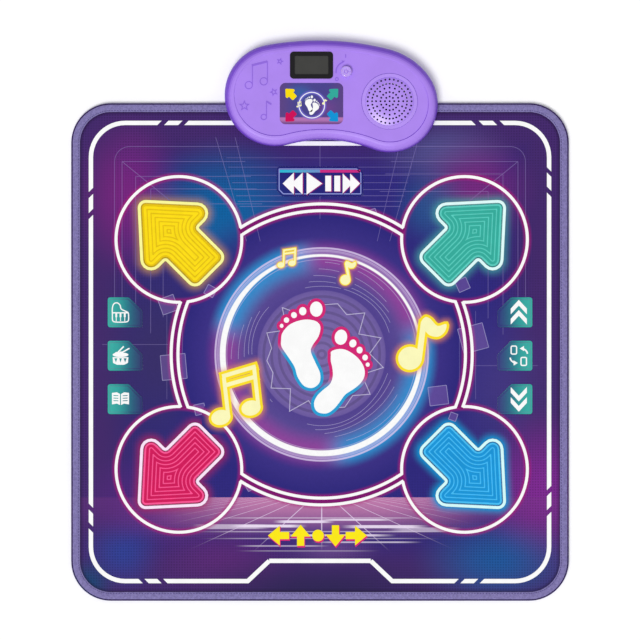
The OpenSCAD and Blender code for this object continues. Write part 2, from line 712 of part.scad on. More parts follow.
// Lower housing: a tub behind the mat, a ledge over it, the battery bay, bosses and board posts
TUB = [[foot_cut, 0], [wall, 0], [wall, part_z - lip_h], [wall + slip + lip_t, part_z - lip_h],
       [wall + slip + lip_t, part_z + lip_h], [wall + slip, part_z + lip_h], [wall + slip, part_z],
       [0, part_z], [0, foot_cut]];
module bottom_housing() color([0.62, 0.48, 0.92]) at_box() difference() {
    union() {
        round_bean(TUB);
        bean_plate(0, floor_z, foot_cut + 0.1);
        intersection() {
            bean_plate(ledge_z, floor_z, 1);
            front_space(0, part_z, tub_gap + wall);
        }
        intersection() {
            bean_plate(0, ledge_z + floor_z, 1);
            translate([-mat_size/2, tub_gap, 0]) cube([mat_size, wall, part_z]);
        }
        at_points(HOUSING_SCREWS, 0) cylinder(d = boss_d + 2, h = boss_top);
        at_points(board_posts, 0) cylinder(d = boss_d - 1, h = board_z);
        bay_shell();
    }
    front_space(-1, ledge_z + 1, tub_gap);
    at_points(HOUSING_SCREWS, -1) cylinder(d = screw_head + 0.6, h = boss_cut + 1);
    at_points(HOUSING_SCREWS, 0) cylinder(d = pass_d, h = part_z);
    at_points(CLAMP_SCREWS, 0) cylinder(d = pass_d, h = part_z);
    at_points(board_posts, board_z - 9) cylinder(d = bore_d, h = 12);
    bay_space();
    translate([tail_x - tail_w/2 - 1, tail_y - 1, ledge_z - 1]) cube([tail_w + 2, 2*film_t + 2, wall + 2]);
}
module bay_block(w, y0, y1, z0, z1) translate([bay_x - w/2, y0, z0]) cube([w, y1 - y0, z1 - z0]);
module bay_shell() {
    bay_block(bay_w + 2*bay_wall, bay_y - bay_wall, bay_y + bay_len + bay_wall, 0, bay_z + bay_wall);
    bay_block(tongue_w + 5, bay_y + bay_len, bay_y + bay_len + tongue_len + 4, 0, door_t + 5);
}
module bay_space() {
    bay_block(bay_w, bay_y, bay_y + bay_len, -1, bay_z);
    bay_block(bay_w, bay_y - door_gap, bay_y + bay_len + door_gap, -1, door_t + door_gap);
    bay_block(tongue_w + 2*door_gap, bay_y, bay_y + bay_len + tongue_len + door_gap,
              -1, door_t + door_gap);
    translate([bay_x, door_screw_y, door_t]) cylinder(d = screw_d + 0.9, h = 8);
    for (s = [-1, 1])
        translate([bay_x + s*bay_w/4 - door_tab_w/2 - door_gap, bay_y - door_gap - tab_reach - 0.6, 0.9])
            cube([door_tab_w + 2*door_gap, tab_reach + 2, 2.7]);
    for (c = [[-1, bay_len - 2], [1, 0]])
        translate([bay_x + c[0]*cell_pitch - 3, bay_y + c[1] , bay_z - 1]) cube([6, 2, bay_wall + 2]);
}

// Speaker grille: a rim, a dome with a flat crown, five rings of holes, and the speaker's seat
module hole_rings()
    for (r = RINGS, i = [0:r[0] - 1])
        rotate(360*i/r[0]) translate([r[1]*dome_r, 0, -wall])
            cylinder(d = hole_d, h = dome_rise + 4*wall, $fn = 24);
function grille_pins() = [for (a = [0:60:300])
    [grille_x, grille_y] + (dome_r + grille_r + 1)/2*[cos(a), sin(a)]];
module dome_section() {
    intersection() {
        translate([crown_r, crown_z - dome_arc]) difference() {
            circle(dome_arc, $fn = 360);
            circle(dome_arc - dome_t, $fn = 360);
        }
        translate([crown_r, seat_z]) square([dome_r - crown_r, dome_rise + 4*wall]);
    }
    translate([0, crown_z - dome_t]) square([crown_r, dome_t]);
    translate([dome_r - 0.4, -wall/2]) square([1, wall/2 - field_in]);
    polygon([[dome_r, -wall/2], [grille_r, -wall/2], [grille_r, -0.6], [grille_r - 0.6, 0], [dome_r, 0]]);
    polygon([[dome_r - 2, -wall/2 - 0.6], [dome_r + 0.6, -wall/2 - 0.6], [dome_r + 0.6, -wall/2 + 0.4],
             [dome_r - 2, -wall/2 + 0.4]]);
}
module seat_section() {
    translate([speaker_r + slip, seat_z - 3.4]) square([1.8, 3.4 + dome_t + 1.4]);
    translate([speaker_r - 1.6, seat_z]) square([2, dome_t + 1.2]);
}
module speaker_grille() color([0.66, 0.53, 0.92]) at_box(panel_z) translate([grille_x, grille_y, 0]) {
    difference() {
        rotate(180/RINGS[5][0]) {
            rotate_extrude($fn = 96) dome_section();
            rotate_extrude($fn = 96) seat_section();
        }
        hole_rings();
    }
    for (p = grille_pins())
        translate([p.x - grille_x, p.y - grille_y, -wall - 0.8])
            cylinder(d = pin_d, h = wall/2 + 0.9);
}
module at_seat() at_box(panel_z + seat_z) translate([grille_x, grille_y, 0]) children();
module speaker_frame() color([0.3, 0.3, 0.32]) at_seat() {
    rotate_extrude($fn = 96)
        polygon([[12, -speaker_h + 5], [speaker_r*0.62, -speaker_h + 5], [speaker_r - 3, -2],
                 [speaker_r, -1.4], [speaker_r, 0], [speaker_r - 2.4, 0], [speaker_r - 4.4, -2.6],
                 [speaker_r*0.58, -speaker_h + 6.4], [12, -speaker_h + 6.4]]);
    translate([0, 0, -speaker_h]) cylinder(r = 14, h = 5.4);
}
module speaker_cone() color([0.12, 0.12, 0.13]) at_seat()
    rotate_extrude($fn = 96)
        polygon([[0, -6.2], [6, -7], [11, -speaker_h + 6.4], [speaker_r - 6, -1.8],
                 [speaker_r - 3.4, -0.6], [speaker_r - 4, -0.2], [speaker_r - 6.4, -0.9],
                 [11.4, -5.4], [6, -5.2], [0, -4.2]]);

// Display: bezel, clear window and the lit module behind them
module display_bezel() color([0.07, 0.07, 0.08]) at_box() difference() {
    translate([disp_x, disp_y, panel_z - bezel_in]) linear_extrude(bezel_in + bezel_up)
        rrect(bezel_w, bezel_d, bezel_r);
    translate([disp_x, disp_y, panel_z - bezel_in - 1]) linear_extrude(bezel_in + bezel_up + 2)
        rrect(window_w, window_d, 2);
    translate([disp_x, disp_y, panel_z - bezel_in - 1]) linear_extrude(window_t + 1 + slip)
        rrect(window_w + 4, window_d + 4, 2);
}
module display_window() color([0.27, 0.27, 0.27]) at_box()
    translate([disp_x, disp_y, panel_z - bezel_in]) linear_extrude(window_t)
        rrect(window_w + 4 - 2*slip, window_d + 4 - 2*slip, 2);
module display_module() color([0.1, 0.35, 0.2]) at_box() {
    glass_h = panel_z - bezel_in - glass_gap - module_z - board_t/2;
    translate([disp_x, disp_y, module_z]) linear_extrude(board_t) rrect(module_w, module_d, 2);
    translate([disp_x, disp_y, module_z + board_t/2]) linear_extrude(glass_h)
        rrect(window_w - 2, window_d - 2, 1);
}
module label_plate() color([0.22, 0.17, 0.45]) at_box()
    translate([disp_x, -label_y, panel_z - label_in]) linear_extrude(label_t)
        rrect(label_w, label_d, label_r);

// Power switch
module at_knob(z) at_box(z) translate([knob_x, knob_y, 0]) children();
module power_knob() color([0.75, 0.63, 0.96]) at_knob(panel_z + knob_gap) difference() {
    rotate_extrude($fn = 96)
        polygon(concat([[0, 0], [knob_r, 0]], arc([knob_r - 2.4, knob_h - 2], 2, 10, 90, 6),
                       [[knob_r - 3.4, knob_h - 0.6], [0, knob_h - 0.6]]));
    translate([0, 0, -1]) cylinder(d = shaft_d + slip, h = socket_h + 1);
    translate([knob_r*0.25, -0.6, knob_h - 1.2]) cube([knob_r, 1.2, 2]);
}
module switch_shaft() color([0.8, 0.8, 0.82]) at_knob(shaft_z)
    cylinder(d = shaft_d, h = panel_z + knob_gap + socket_h - shaft_z);
module rotary_switch() color([0.2, 0.22, 0.25]) at_knob(board_top) difference() {
    union() {
        translate([-switch_w/2, -switch_w/2, 0]) cube([switch_w, switch_w, switch_h]);
        cylinder(d = shaft_d + 4, h = switch_h + 3);
    }
    translate([0, 0, shaft_z - board_top]) cylinder(d = shaft_d + slip, h = switch_h + 3);
}

// Main board and what stands on it
module main_board() color([0.08, 0.4, 0.2]) at_box(board_z) difference() {
    translate([board_x, board_y, 0]) linear_extrude(board_t) rrect(board_w, board_d, 2);
    at_points(board_posts, -1) cylinder(d = pass_d, h = board_t + 2);
}
module on_board(at) translate([board_x + at.x*board_w, board_y + at.y*board_d, 0]) children();
module board_components() color([0.12, 0.12, 0.13]) at_box(board_top) {
    for (c = CHIPS) on_board(c[0]) translate([-c[1].x/2, -c[1].y/2, 0]) cube(c[1]);
    for (c = CAPS) on_board(c[0]) cylinder(d = c[1], h = c[2]);
    // Plug of the display module, and the battery plug at the board's left edge
    translate([disp_x - plug_w/2, disp_y - 17.3, 0]) cube([plug_w, 2.6, module_z - board_top]);
    translate([plug_x, plug_y - plug_w/2, 0]) cube([4, plug_w, plug_h]);
}
module tail_connector() color([0.93, 0.93, 0.9]) at_box(board_top)
    translate([tail_x - tail_w/2 - 3, board_y - board_d/2, 0]) difference() {
        cube([tail_w + 6, connector_d, connector_h]);
        translate([2, -1, connector_h/2 - 0.4]) cube([tail_w + 2, connector_d - 1, 0.8]);
    }
// The printed tail leaves the lower membrane, passes the ledge's slot and ends in its connector
module membrane_tail() color([0.85, 0.75, 0.35]) at_box() {
    top = board_top + connector_h/2 - film_t/2;
    end = board_y - board_d/2 + connector_d - 2.5;
    translate([tail_x - tail_w/2, 0, 0]) rotate([90, 0, 90]) linear_extrude(tail_w)
        polygon([[tail_y - tail_run, spacer_z], [tail_y + film_t, spacer_z], [tail_y + film_t, top],
                 [end, top], [end, top + film_t], [tail_y, top + film_t], [tail_y, spacer_z + film_t],
                 [tail_y - tail_run, spacer_z + film_t]]);
}
module board_screws() color([0.75, 0.75, 0.78]) at_box() at_points(board_posts, board_top) {
    cylinder(d = screw_head, h = head_h);
    translate([0, 0, -board_t - 6]) cylinder(d = screw_d, h = board_t + 6.5);
}

// Speaker and battery leads lie inside the housing
module lead_pair(route, off) {
    tube(route, lead_r);
    tube([for (p = route) p + off], lead_r);
}
module speaker_leads() color([0.75, 0.1, 0.1]) at_box() {
    z = panel_z + seat_z - speaker_h + 2;
    lead_pair([[grille_x - 14.5, 6, z], [board_end + 28, 9, z], [board_end + 19, 14, z + 1],
               [board_end + 10, 18, board_top + 3], [board_end - 1, 20, board_top + 3.4]],
              [0, 2.4, 0]);
}
module battery_leads() color([0.75, 0.1, 0.1]) at_box() {
    z = bay_z + bay_wall + 1.6;
    tube([[bay_x - cell_pitch, bay_y + bay_len - 1.3, z],
          [bay_x - cell_pitch + 6, bay_y + bay_len - 1, z + 1.4],
          [bay_x + 12.5, bay_y + bay_len, z + 2], [plug_x - 10, plug_y + 14, z + 2],
          [plug_x - 0.5, plug_y + 8, board_top + 3]], lead_r);
    tube([[bay_x + cell_pitch, bay_y + 1.3, z], [bay_x + cell_pitch + 6, bay_y + 3, z + 1.4],
          [plug_x - 12, plug_y - 22, z + 2], [plug_x - 6, plug_y - 12, z + 1],
          [plug_x - 0.5, plug_y - 6, board_top + 3]], lead_r);
}

// Batteries: the cells lie side by side and alternate
module cell_row() for (i = [0:cells - 1])
    translate([bay_x + (i - 1)*cell_pitch, bay_y + bay_len/2, cell_z])
        rotate([0, 0, i%2 == 0 ? 0 : 180]) translate([0, -bay_len/2, 0]) rotate([-90, 0, 0]) children();
module batteries() color([0.85, 0.6, 0.2]) at_box() cell_row()
    translate([0, 0, contact_t + spring_len]) {
        cylinder(d = cell_d, h = cell_len);
        cylinder(d = tip_d, h = cell_len + tip_h);
    }
module battery_contacts() color([0.8, 0.8, 0.82]) at_box() {
    // A wide plate joins two cells, a narrow one ends the row and reaches up through the bay's roof
    for (c = [[-0.5, 0], [0.5, 1]])
        translate([bay_x + c[0]*cell_pitch - 12, bay_y + c[1]*(bay_len - contact_t), cell_z - 5])
            cube([24, contact_t, 10]);
    for (c = [[-1, 1], [1, 0]])
        translate([bay_x + c[0]*cell_pitch, bay_y + c[1]*(bay_len - contact_t), 0]) {
            translate([c[0] > 0 ? -3 : -5, 0, cell_z - 5]) cube([8, contact_t, 10]);
            translate([-2, 0, cell_z]) cube([4, contact_t, bay_z + bay_wall + 3 - cell_z]);
        }
}
module battery_springs() color([0.8, 0.8, 0.82]) at_box() cell_row()
    tube([for (i = [0:30]) let (a = 36*i, r = 4.6 - i/20)
          [r*cos(a), r*sin(a), contact_t + 0.35 + i/30*(spring_len - 0.7)]], 0.35, 6);

// Battery door with its captive screw
module battery_door() color([0.62, 0.48, 0.92]) at_box() difference() {
    union() {
        bay_block(bay_w - 2*door_gap, bay_y, bay_y + bay_len, 0, door_t);
        bay_block(tongue_w, bay_y, bay_y + bay_len + tongue_len, 0, door_t);
        for (s = [-1, 1])
            translate([bay_x + s*bay_w/4 - door_tab_w/2, bay_y - tab_reach, 1.2])
                cube([door_tab_w, tab_reach + 1, door_t - 1.2]);
    }
    translate([bay_x, door_screw_y, -1]) cylinder(d = screw_head + 0.4, h = 2.2);
    translate([bay_x, door_screw_y, 0]) cylinder(d = screw_d + slip, h = 3);
    for (i = [0:4]) translate([bay_x - 12, bay_y + 6 + 3*i, -1]) cube([24, 1.4, 1.5]);
}
module battery_door_screw() color([0.75, 0.75, 0.78]) at_box()
    translate([bay_x, door_screw_y, 0]) {
        translate([0, 0, 0.2]) cylinder(d = screw_head, h = 1);
        translate([0, 0, 0.8]) cylinder(d = screw_d, h = door_t + 2.6);
    }

// Screws that hold the box together and clamp the mat
module screw_up(z0, z1) {
    translate([0, 0, z0]) cylinder(d = screw_head, h = head_h);
    translate([0, 0, z0 + head_h/2]) cylinder(d = screw_d, h = z1 - z0 - head_h/2);
}
module housing_screws() color([0.75, 0.75, 0.78]) at_box()
    at_points(HOUSING_SCREWS, 0) screw_up(boss_cut - head_h, boss_top + bite);
module clamp_screws() color([0.75, 0.75, 0.78]) at_box()
    at_points(CLAMP_SCREWS, 0) screw_up(0.2, ledge_z + floor_z + bite);
// Plate under the mat, with a cup round each screw head
module mat_clamp_plate() color([0.2, 0.2, 0.22]) difference() {
    union() {
        layer(0, clamp_t) clamp_shape(0);
        layer(0, cup_h) screw_holes(boss_d + 4 - 2*slip);
    }
    layer(-1, head_h + 1.2) screw_holes(screw_head + 0.8);
    layer(-1, cup_h + 2) screw_holes(pass_d);
}

base_sheet();
foam_core();
lower_membrane();
spacer_foam();
upper_membrane();
top_sheet();
edge_binding();
arrow_pad_yellow();
arrow_pad_green();
arrow_pad_red();
arrow_pad_blue();
arrow_patch_yellow();
arrow_patch_green();
arrow_patch_red();
arrow_patch_blue();
start_pad();
piano_pad();
drum_pad();
book_pad();
up_pad();
swap_pad();
down_pad();
start_patch();
piano_patch();
drum_patch();
book_patch();
up_patch();
swap_patch();
down_patch();
bottom_housing();
top_housing();
speaker_grille();
speaker_frame();
speaker_cone();
display_bezel();
display_window();
display_module();
label_plate();
power_knob();
switch_shaft();
rotary_switch();
main_board();
board_components();
tail_connector();
membrane_tail();
batteries();
battery_contacts();
battery_springs();
battery_leads();
speaker_leads();
battery_door();
battery_door_screw();
housing_screws();
board_screws();
mat_clamp_plate();
clamp_screws();
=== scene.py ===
"""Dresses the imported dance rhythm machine: a printed dance mat with a control box on its rear edge.

It is laid out as a Blender add-on and run as a script. Pieces are in metres. The print is drawn in
millimetres from the middle of the mat, with +Y to the rear.
"""
import math

from functools import partialmethod

import bpy
import numpy as np
from bpy.props import FloatProperty, FloatVectorProperty, PointerProperty
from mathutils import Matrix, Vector
from mathutils.bvhtree import BVHTree
from mathutils.geometry import delaunay_2d_cdt


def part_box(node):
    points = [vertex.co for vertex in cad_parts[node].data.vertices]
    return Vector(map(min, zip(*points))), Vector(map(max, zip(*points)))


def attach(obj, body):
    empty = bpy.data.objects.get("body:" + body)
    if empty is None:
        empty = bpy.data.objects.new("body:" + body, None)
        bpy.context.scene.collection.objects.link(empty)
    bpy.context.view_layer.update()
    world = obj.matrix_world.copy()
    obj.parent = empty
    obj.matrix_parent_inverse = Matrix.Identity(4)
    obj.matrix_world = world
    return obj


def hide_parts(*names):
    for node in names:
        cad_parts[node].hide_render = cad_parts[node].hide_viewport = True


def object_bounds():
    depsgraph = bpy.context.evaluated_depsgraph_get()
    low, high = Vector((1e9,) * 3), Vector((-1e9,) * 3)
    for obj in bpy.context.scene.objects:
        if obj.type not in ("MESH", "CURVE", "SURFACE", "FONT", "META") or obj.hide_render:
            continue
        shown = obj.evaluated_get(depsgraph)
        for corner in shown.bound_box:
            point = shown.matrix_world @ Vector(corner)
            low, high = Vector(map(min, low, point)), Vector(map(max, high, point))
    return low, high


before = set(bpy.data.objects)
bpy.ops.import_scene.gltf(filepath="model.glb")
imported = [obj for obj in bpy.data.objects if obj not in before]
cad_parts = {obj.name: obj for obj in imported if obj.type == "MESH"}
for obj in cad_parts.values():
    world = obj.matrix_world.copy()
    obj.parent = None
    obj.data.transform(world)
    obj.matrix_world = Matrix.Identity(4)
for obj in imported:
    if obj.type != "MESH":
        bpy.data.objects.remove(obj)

bl_info = {
    "name": "Dance mat dresser",
    "version": (1, 0, 0),
    "blender": (4, 5, 0),
    "location": "3D View > Sidebar > Dance mat",
    "description": "Prints, binds and finishes a dance mat and its control box",
    "category": "Object",
}

CAD_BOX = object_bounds()
MM = 0.001
ROOT = "mat_and_box"

# ---------------------------------------------------------------- image points and camera
IMAGE_W = 640
IMAGE_H = 640
# Points in the photograph's frame; an edge keeps only the number that it is about
POINTS = {
    "edge_left": (71.0, None),
    "edge_right": (569.0, None),
    "edge_top": (None, 39.9),
    "edge_bottom": (None, 601.0),
    "grille": (389.3, 102.0),
    "display": (311.5, 66.3),
    "knob": (346.0, 72.7),
    "print_centre": (321.7, 354.4),
    "foot_left": (301.2, 344.6),
    "foot_right": (341.3, 371.5),
    "beamed_note": (235.8, 395.3),
    "small_beamed_note": (287.3, 257.8),
    "small_note": (348.5, 272.8),
    "eighth_note": (422.5, 344.6),
    "start_sign": (319.8, 183.5),
    "row_sign": (317.4, 535.5),
    "left_icon": (120.5, 312.0),
    "right_icon": (518.8, 312.0),
    "border_line": (320.0, 561.0),
    "horizon": (320.0, 497.4),
}
LENS = 200.0
SENSOR = 36.0
SHIFT = (0.0, 0.0)
SIDE = max(IMAGE_W, IMAGE_H)
DEPTH = SIDE * LENS / SENSOR
AXIS_AT = (IMAGE_W / 2 - SHIFT[0] * SIDE, IMAGE_H / 2 + SHIFT[1] * SIDE)
# The mat's box, and the image's scale at the height of the print
MAT_LOW, MAT_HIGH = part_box("edge_binding")
MAT_C = (MAT_LOW + MAT_HIGH) / 2
SHEET_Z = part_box("top_sheet")[1].z
PIXEL = (MAT_HIGH.x - MAT_LOW.x) / (POINTS["edge_right"][0] - POINTS["edge_left"][0])
CAMERA_AT = Vector((
    MAT_C.x + (IMAGE_W / 2 - (POINTS["edge_left"][0] + POINTS["edge_right"][0]) / 2) * PIXEL,
    MAT_LOW.y + (POINTS["edge_bottom"][1] - IMAGE_H / 2) * PIXEL,
    SHEET_Z + IMAGE_W * PIXEL * LENS / SENSOR,
))


def image_xy(p):
    """Where a point shows in the image; the camera looks straight down with +Y up."""
    d = Vector(p) - CAMERA_AT
    k = -DEPTH / d.z
    return (d.x * k + AXIS_AT[0], AXIS_AT[1] - d.y * k)


def flat(v):
    """A place in millimetres from the middle of the mat."""
    return ((v.x - MAT_C.x) / MM, (v.y - MAT_C.y) / MM)


def point_mm(name, *nodes):
    """Where an image point's ray meets these nodes, or the top sheet; otherwise the place nearest to it."""
    verts, faces = [], []
    for node in nodes or ("top_sheet",):
        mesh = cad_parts[node].data
        start = len(verts)
        verts += [v.co.copy() for v in mesh.vertices]
        faces += [[start + i for i in f.vertices] for f in mesh.polygons]
    tree = BVHTree.FromPolygons(verts, faces)
    x, y = POINTS[name]
    ray = Vector((x - AXIS_AT[0], AXIS_AT[1] - y, -DEPTH)).normalized()
    hit = tree.ray_cast(CAMERA_AT, ray)[0]
    if hit is None:
        hit = tree.find_nearest(CAMERA_AT + ray * ((SHEET_Z - CAMERA_AT.z) / ray.z))[0]
    return flat(hit)


SHOWN = {}      # each image point's piece, and the place on it where that is not the piece's middle


# ---------------------------------------------------------------- sizes and colours
def size(name, text, value):
    """A length in metres."""
    return FloatProperty(name=name, description=text, default=value, unit="LENGTH", precision=4)


def paint(name, text, *rgb):
    """A colour as it is seen, from 0 to 255."""
    return FloatVectorProperty(name=name, description=text, subtype="COLOR_GAMMA", size=3, min=0, max=1,
                               default=[c / 255 for c in rgb])


class PrintSizes(bpy.types.PropertyGroup):
    line: size("Line", "Width of the white border line", 0.007)
    border: size("Border", "Distance of the border line from the middle of the mat", 0.368)
    border_r: size("Border corner", "Corner radius of the border line", 0.055)
    circle_r: size("Arrow circle", "Radius of the line round each arrow", 0.101)
    circle_w: size("Circle line", "Width of the arrow circles' line", 0.0047)
    ring_out: size("Outer ring", "Radius of the outer line of the double ring", 0.2418)
    ring_in: size("Inner ring", "Radius of the inner line of the double ring", 0.2309)
    ring_w: size("Ring line", "Width of the double ring's lines", 0.0048)
    neon_r: size("Neon ring", "Radius of the glowing ring", 0.159)
    disc_r: size("Foot disc", "Radius of the pale disc under the feet", 0.102)
    glow: size("Glow", "How far the arrows glow", 0.015)
    grid: size("Grid", "Pitch of the fine grid in the corners", 0.0043)
    ink: size("Ink step", "Height of one printed layer over the next", 0.00004)


class BindingSizes(bpy.types.PropertyGroup):
    stitch: size("Stitch pitch", "Distance from one stitch to the next", 0.0046)
    thread: size("Thread", "Thickness of the sewing thread", 0.0013)
    stitch_in: size("Stitch line", "Distance of the seam from the binding's inner edge", 0.0022)
    crown: size("Crown", "Rise of the folded tape between its edges", 0.0005)
    roll: size("Roll", "Rounding of the outer fold", 0.0036)


class MatColours(bpy.types.PropertyGroup):
    navy: paint("Navy", "Ground of the print", 43, 36, 120)
    purple: paint("Purple edge", "Print at the mat's edge", 66, 38, 104)
    white: paint("White ink", "Lines and feet", 255, 255, 255)
    magenta: paint("Magenta", "Glow of the circles and the double ring", 172, 20, 120)
    band: paint("Ring band", "Fill of the double ring", 126, 14, 108)
    blue: paint("Blue glow", "Cool half of the neon ring", 0, 158, 224)
    violet: paint("Violet glow", "Warm half of the neon ring", 178, 48, 156)
    teal: paint("Teal", "Side pads", 60, 176, 166)
    yellow: paint("Yellow ink", "Notes' rims", 255, 226, 40)
    cream: paint("Cream ink", "Inside of the notes", 255, 252, 190)
    pink: paint("Pink ink", "Toes' outline", 214, 38, 118)
    cyan: paint("Cyan ink", "Heels' outline", 40, 160, 214)
    tape: paint("Binding tape", "Woven tape round the mat", 134, 125, 178)


class BoxColours(bpy.types.PropertyGroup):
    shell: paint("Shell", "Moulded plastic of the control box", 172, 132, 240)
    # Also the tint of the painted shade on the shell's steep and rear-facing walls, its grille and its raised
    # signs
    shell_deep_and_shade: paint("Deep shell", "The same plastic on steep walls", 118, 70, 206)
    bezel: paint("Bezel", "Display bezel", 16, 14, 18)
    window: paint("Window", "Smoked display window", 62, 62, 60)
    knob: paint("Knob", "Clear lilac knob", 190, 156, 246)


GROUPS = {"dance_print": PrintSizes, "dance_binding": BindingSizes, "dance_colours": MatColours,
          "dance_box": BoxColours}


def settings(name):
    """One of the groups of sizes and colours, as it is set in the sidebar."""
    return getattr(bpy.context.scene, name)


# ---------------------------------------------------------------- outlines, in millimetres
CURVE_STEPS = 4     # straight pieces between two points of a smooth curve


def turned(points, degrees, at=(0.0, 0.0), scale=1.0):
    """Points scaled and turned about the origin, then moved to a place."""
    a = math.radians(degrees)
    c, s = scale * math.cos(a), scale * math.sin(a)
    return [(at[0] + x * c - y * s, at[1] + x * s + y * c) for x, y in points]


def oval(x, y, rx, ry=None, turn=0.0, grow=0.0, steps=36):
    """A closed oval, anticlockwise; grow makes both radii longer."""
    ry = rx if ry is None else ry
    ring = [((rx + grow) * math.cos(2 * math.pi * i / steps), (ry + grow) * math.sin(2 * math.pi * i / steps))
            for i in range(steps)]
    return turned(ring, turn, (x, y))


def around(at, r, degrees):
    """The place at a distance from another, in a direction."""
    a = math.radians(degrees)
    return (at[0] + r * math.cos(a), at[1] + r * math.sin(a))


def arc(x, y, r, a0, a1, steps):
    """Places along a round stretch, from one direction to another."""
    return [around((x, y), r, a0 + (a1 - a0) * i / steps) for i in range(steps + 1)]


def span(points):
    """The lowest and the highest x, then the lowest and the highest y."""
    xs, ys = zip(*points)
    return min(xs), max(xs), min(ys), max(ys)


def left_of(p, q):
    """The direction to the left of the way from p to q."""
    d = math.hypot(q[0] - p[0], q[1] - p[1]) or 1e-9
    return (-(q[1] - p[1]) / d, (q[0] - p[0]) / d)


def outset(points, grow):
    """A closed outline, anticlockwise, moved out by grow at mitred corners."""
    if not grow:
        return list(points)
    out = []
    for i, p in enumerate(points):
        m = left_of(points[i - 1], p)
        n = left_of(p, points[(i + 1) % len(points)])
        k = grow / max(1 + m[0] * n[0] + m[1] * n[1], 0.35)
        out.append((p[0] - k * (m[0] + n[0]), p[1] - k * (m[1] + n[1])))
    return out


def bar(points, width, grow=0.0, cut=(None, None)):
    """A line of even width along points. A cut is the direction of a slanted end."""
    h = width / 2 + grow
    left, right = [], []
    last = len(points) - 1
    for i, p in enumerate(points):
        m = left_of(points[max(i - 1, 0)], points[max(i, 1)])
        n = left_of(points[min(i, last - 1)], points[min(i + 1, last)])
        k = h / (1 + m[0] * n[0] + m[1] * n[1])
        side = (k * (m[0] + n[0]), k * (m[1] + n[1]))
        end = cut[0] if i == 0 else cut[1] if i == last else None
        if end:
            k = h / (end[0] * n[0] + end[1] * n[1])
            side = (k * end[0], k * end[1])
        back = grow * (-1 if i == 0 else 1 if i == last else 0)
        ahead = (n[1] * back, -n[0] * back)
        left.append((p[0] + side[0] + ahead[0], p[1] + side[1] + ahead[1]))
        right.append((p[0] - side[0] + ahead[0], p[1] - side[1] + ahead[1]))
    return left + right[::-1]


def smooth_loop(points):
    """A closed curve through points."""
    n = len(points)
    p = np.array(points, float)
    out = []
    for i in range(n):
        a, b, c, d = p[i - 1], p[i], p[(i + 1) % n], p[(i + 2) % n]
        for j in range(CURVE_STEPS):
            t = j / CURVE_STEPS
            bend, twist = 2 * a - 5 * b + 4 * c - d, 3 * b - a - 3 * c + d
            q = 0.5 * (2 * b + (c - a) * t + bend * t**2 + twist * t**3)
            out.append((float(q[0]), float(q[1])))
    return out


def rounded_box(w, d, r, x=0.0, y=0.0, steps=6):
    """A closed box with round corners, anticlockwise."""
    out = []
    for cx, cy, a in ((1, -1, -90), (1, 1, 0), (-1, 1, 90), (-1, -1, 180)):
        out += arc(x + cx * (w / 2 - r), y + cy * (d / 2 - r), r, a, a + 90, steps)
    return out


def anticlockwise(loop):
    total = sum(loop[i - 1][0] * loop[i][1] - loop[i][0] * loop[i - 1][1] for i in range(len(loop)))
    return list(loop) if total > 0 else list(loop)[::-1]


def moved(loops, at, scale=1.0, turn=0.0):
    return [turned(loop, turn, at, scale) for loop in loops]


def distance_to(points, loops):
    """Distance of each point to the nearest outline, and 0 inside one."""
    p = np.array(points, float)
    best = np.full(len(p), 1e9)
    for loop in loops:
        a = np.array(loop, float)
        b = np.roll(a, -1, 0)
        d = b - a
        t = np.clip(((p[:, None] - a) * d).sum(2) / np.maximum((d * d).sum(1), 1e-12), 0, 1)
        near = np.hypot(*np.moveaxis(p[:, None] - a - t[..., None] * d, 2, 0)).min(1)
        x, y = p[:, None, 0], p[:, None, 1]
        slope = d[:, 0] / np.where(d[:, 1] == 0, 1e-12, d[:, 1])
        crosses = ((a[:, 1] > y) != (b[:, 1] > y)) & (x < a[:, 0] + (y - a[:, 1]) * slope)
        near[crosses.sum(1) % 2 == 1] = 0
        best = np.minimum(best, near)
    return best


# ---------------------------------------------------------------- making pieces
def add_piece(name, verts, faces, material, slot, body=ROOT, smooth=False):
    """One mesh object that rides on a body."""
    mesh = bpy.data.meshes.new(name)
    mesh.from_pydata(verts, [], faces)
    mesh.validate()
    piece = bpy.data.objects.new(name, mesh)
    bpy.context.scene.collection.objects.link(piece)
    mesh.materials.append(material)
    mesh.polygons.foreach_set("use_smooth", [smooth] * len(mesh.polygons))
    mesh.update()
    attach(piece, body)
    return piece


def fill(shapes, cuts=(), loose=()):
    """Triangles of the union of shapes less the cuts, with loose points worked in."""
    loops = [anticlockwise(s) for s in list(shapes) + list(cuts)]
    points, faces = [], []
    for loop in loops:
        faces.append(list(range(len(points), len(points) + len(loop))))
        points += loop
    points += list(loose)
    co, _, tris, _, _, source = delaunay_2d_cdt([Vector(p) for p in points], [], faces, 1, 1e-5)
    solid = len(shapes)
    kept = [t for t, s in zip(tris, source) if s and max(s) < solid]
    used = sorted({i for t in kept for i in t})
    place = {v: i for i, v in enumerate(used)}
    return [tuple(co[v]) for v in used], [[place[i] for i in t] for t in kept]


def slab(co, tris, z0, z1):
    """A thin closed solid on flat triangles; co in millimetres round the mat's middle, z in metres."""
    n = len(co)
    verts = [(MAT_C.x + x * MM, MAT_C.y + y * MM, z) for z in (z1, z0) for x, y in co]
    faces = [list(t) for t in tris] + [[n + i for i in reversed(t)] for t in tris]
    edges = {}
    for t in tris:
        for i in range(3):
            edges[(t[i], t[(i + 1) % 3])] = True
    faces += [[a, n + a, n + b, b] for a, b in edges if (b, a) not in edges]
    return verts, faces


def print_layer(name, shapes, material, level, cuts=(), body=ROOT, slot="printed_sheet", base=None):
    """One printed layer: level counts the layers of ink over the sheet, or over base."""
    step = settings("dance_print").ink
    z = (SHEET_Z if base is None else base) + (level - 1) * step
    co, tris = fill(shapes, cuts)
    return add_piece(name, *slab(co, tris, z, z + step), material, slot, body)


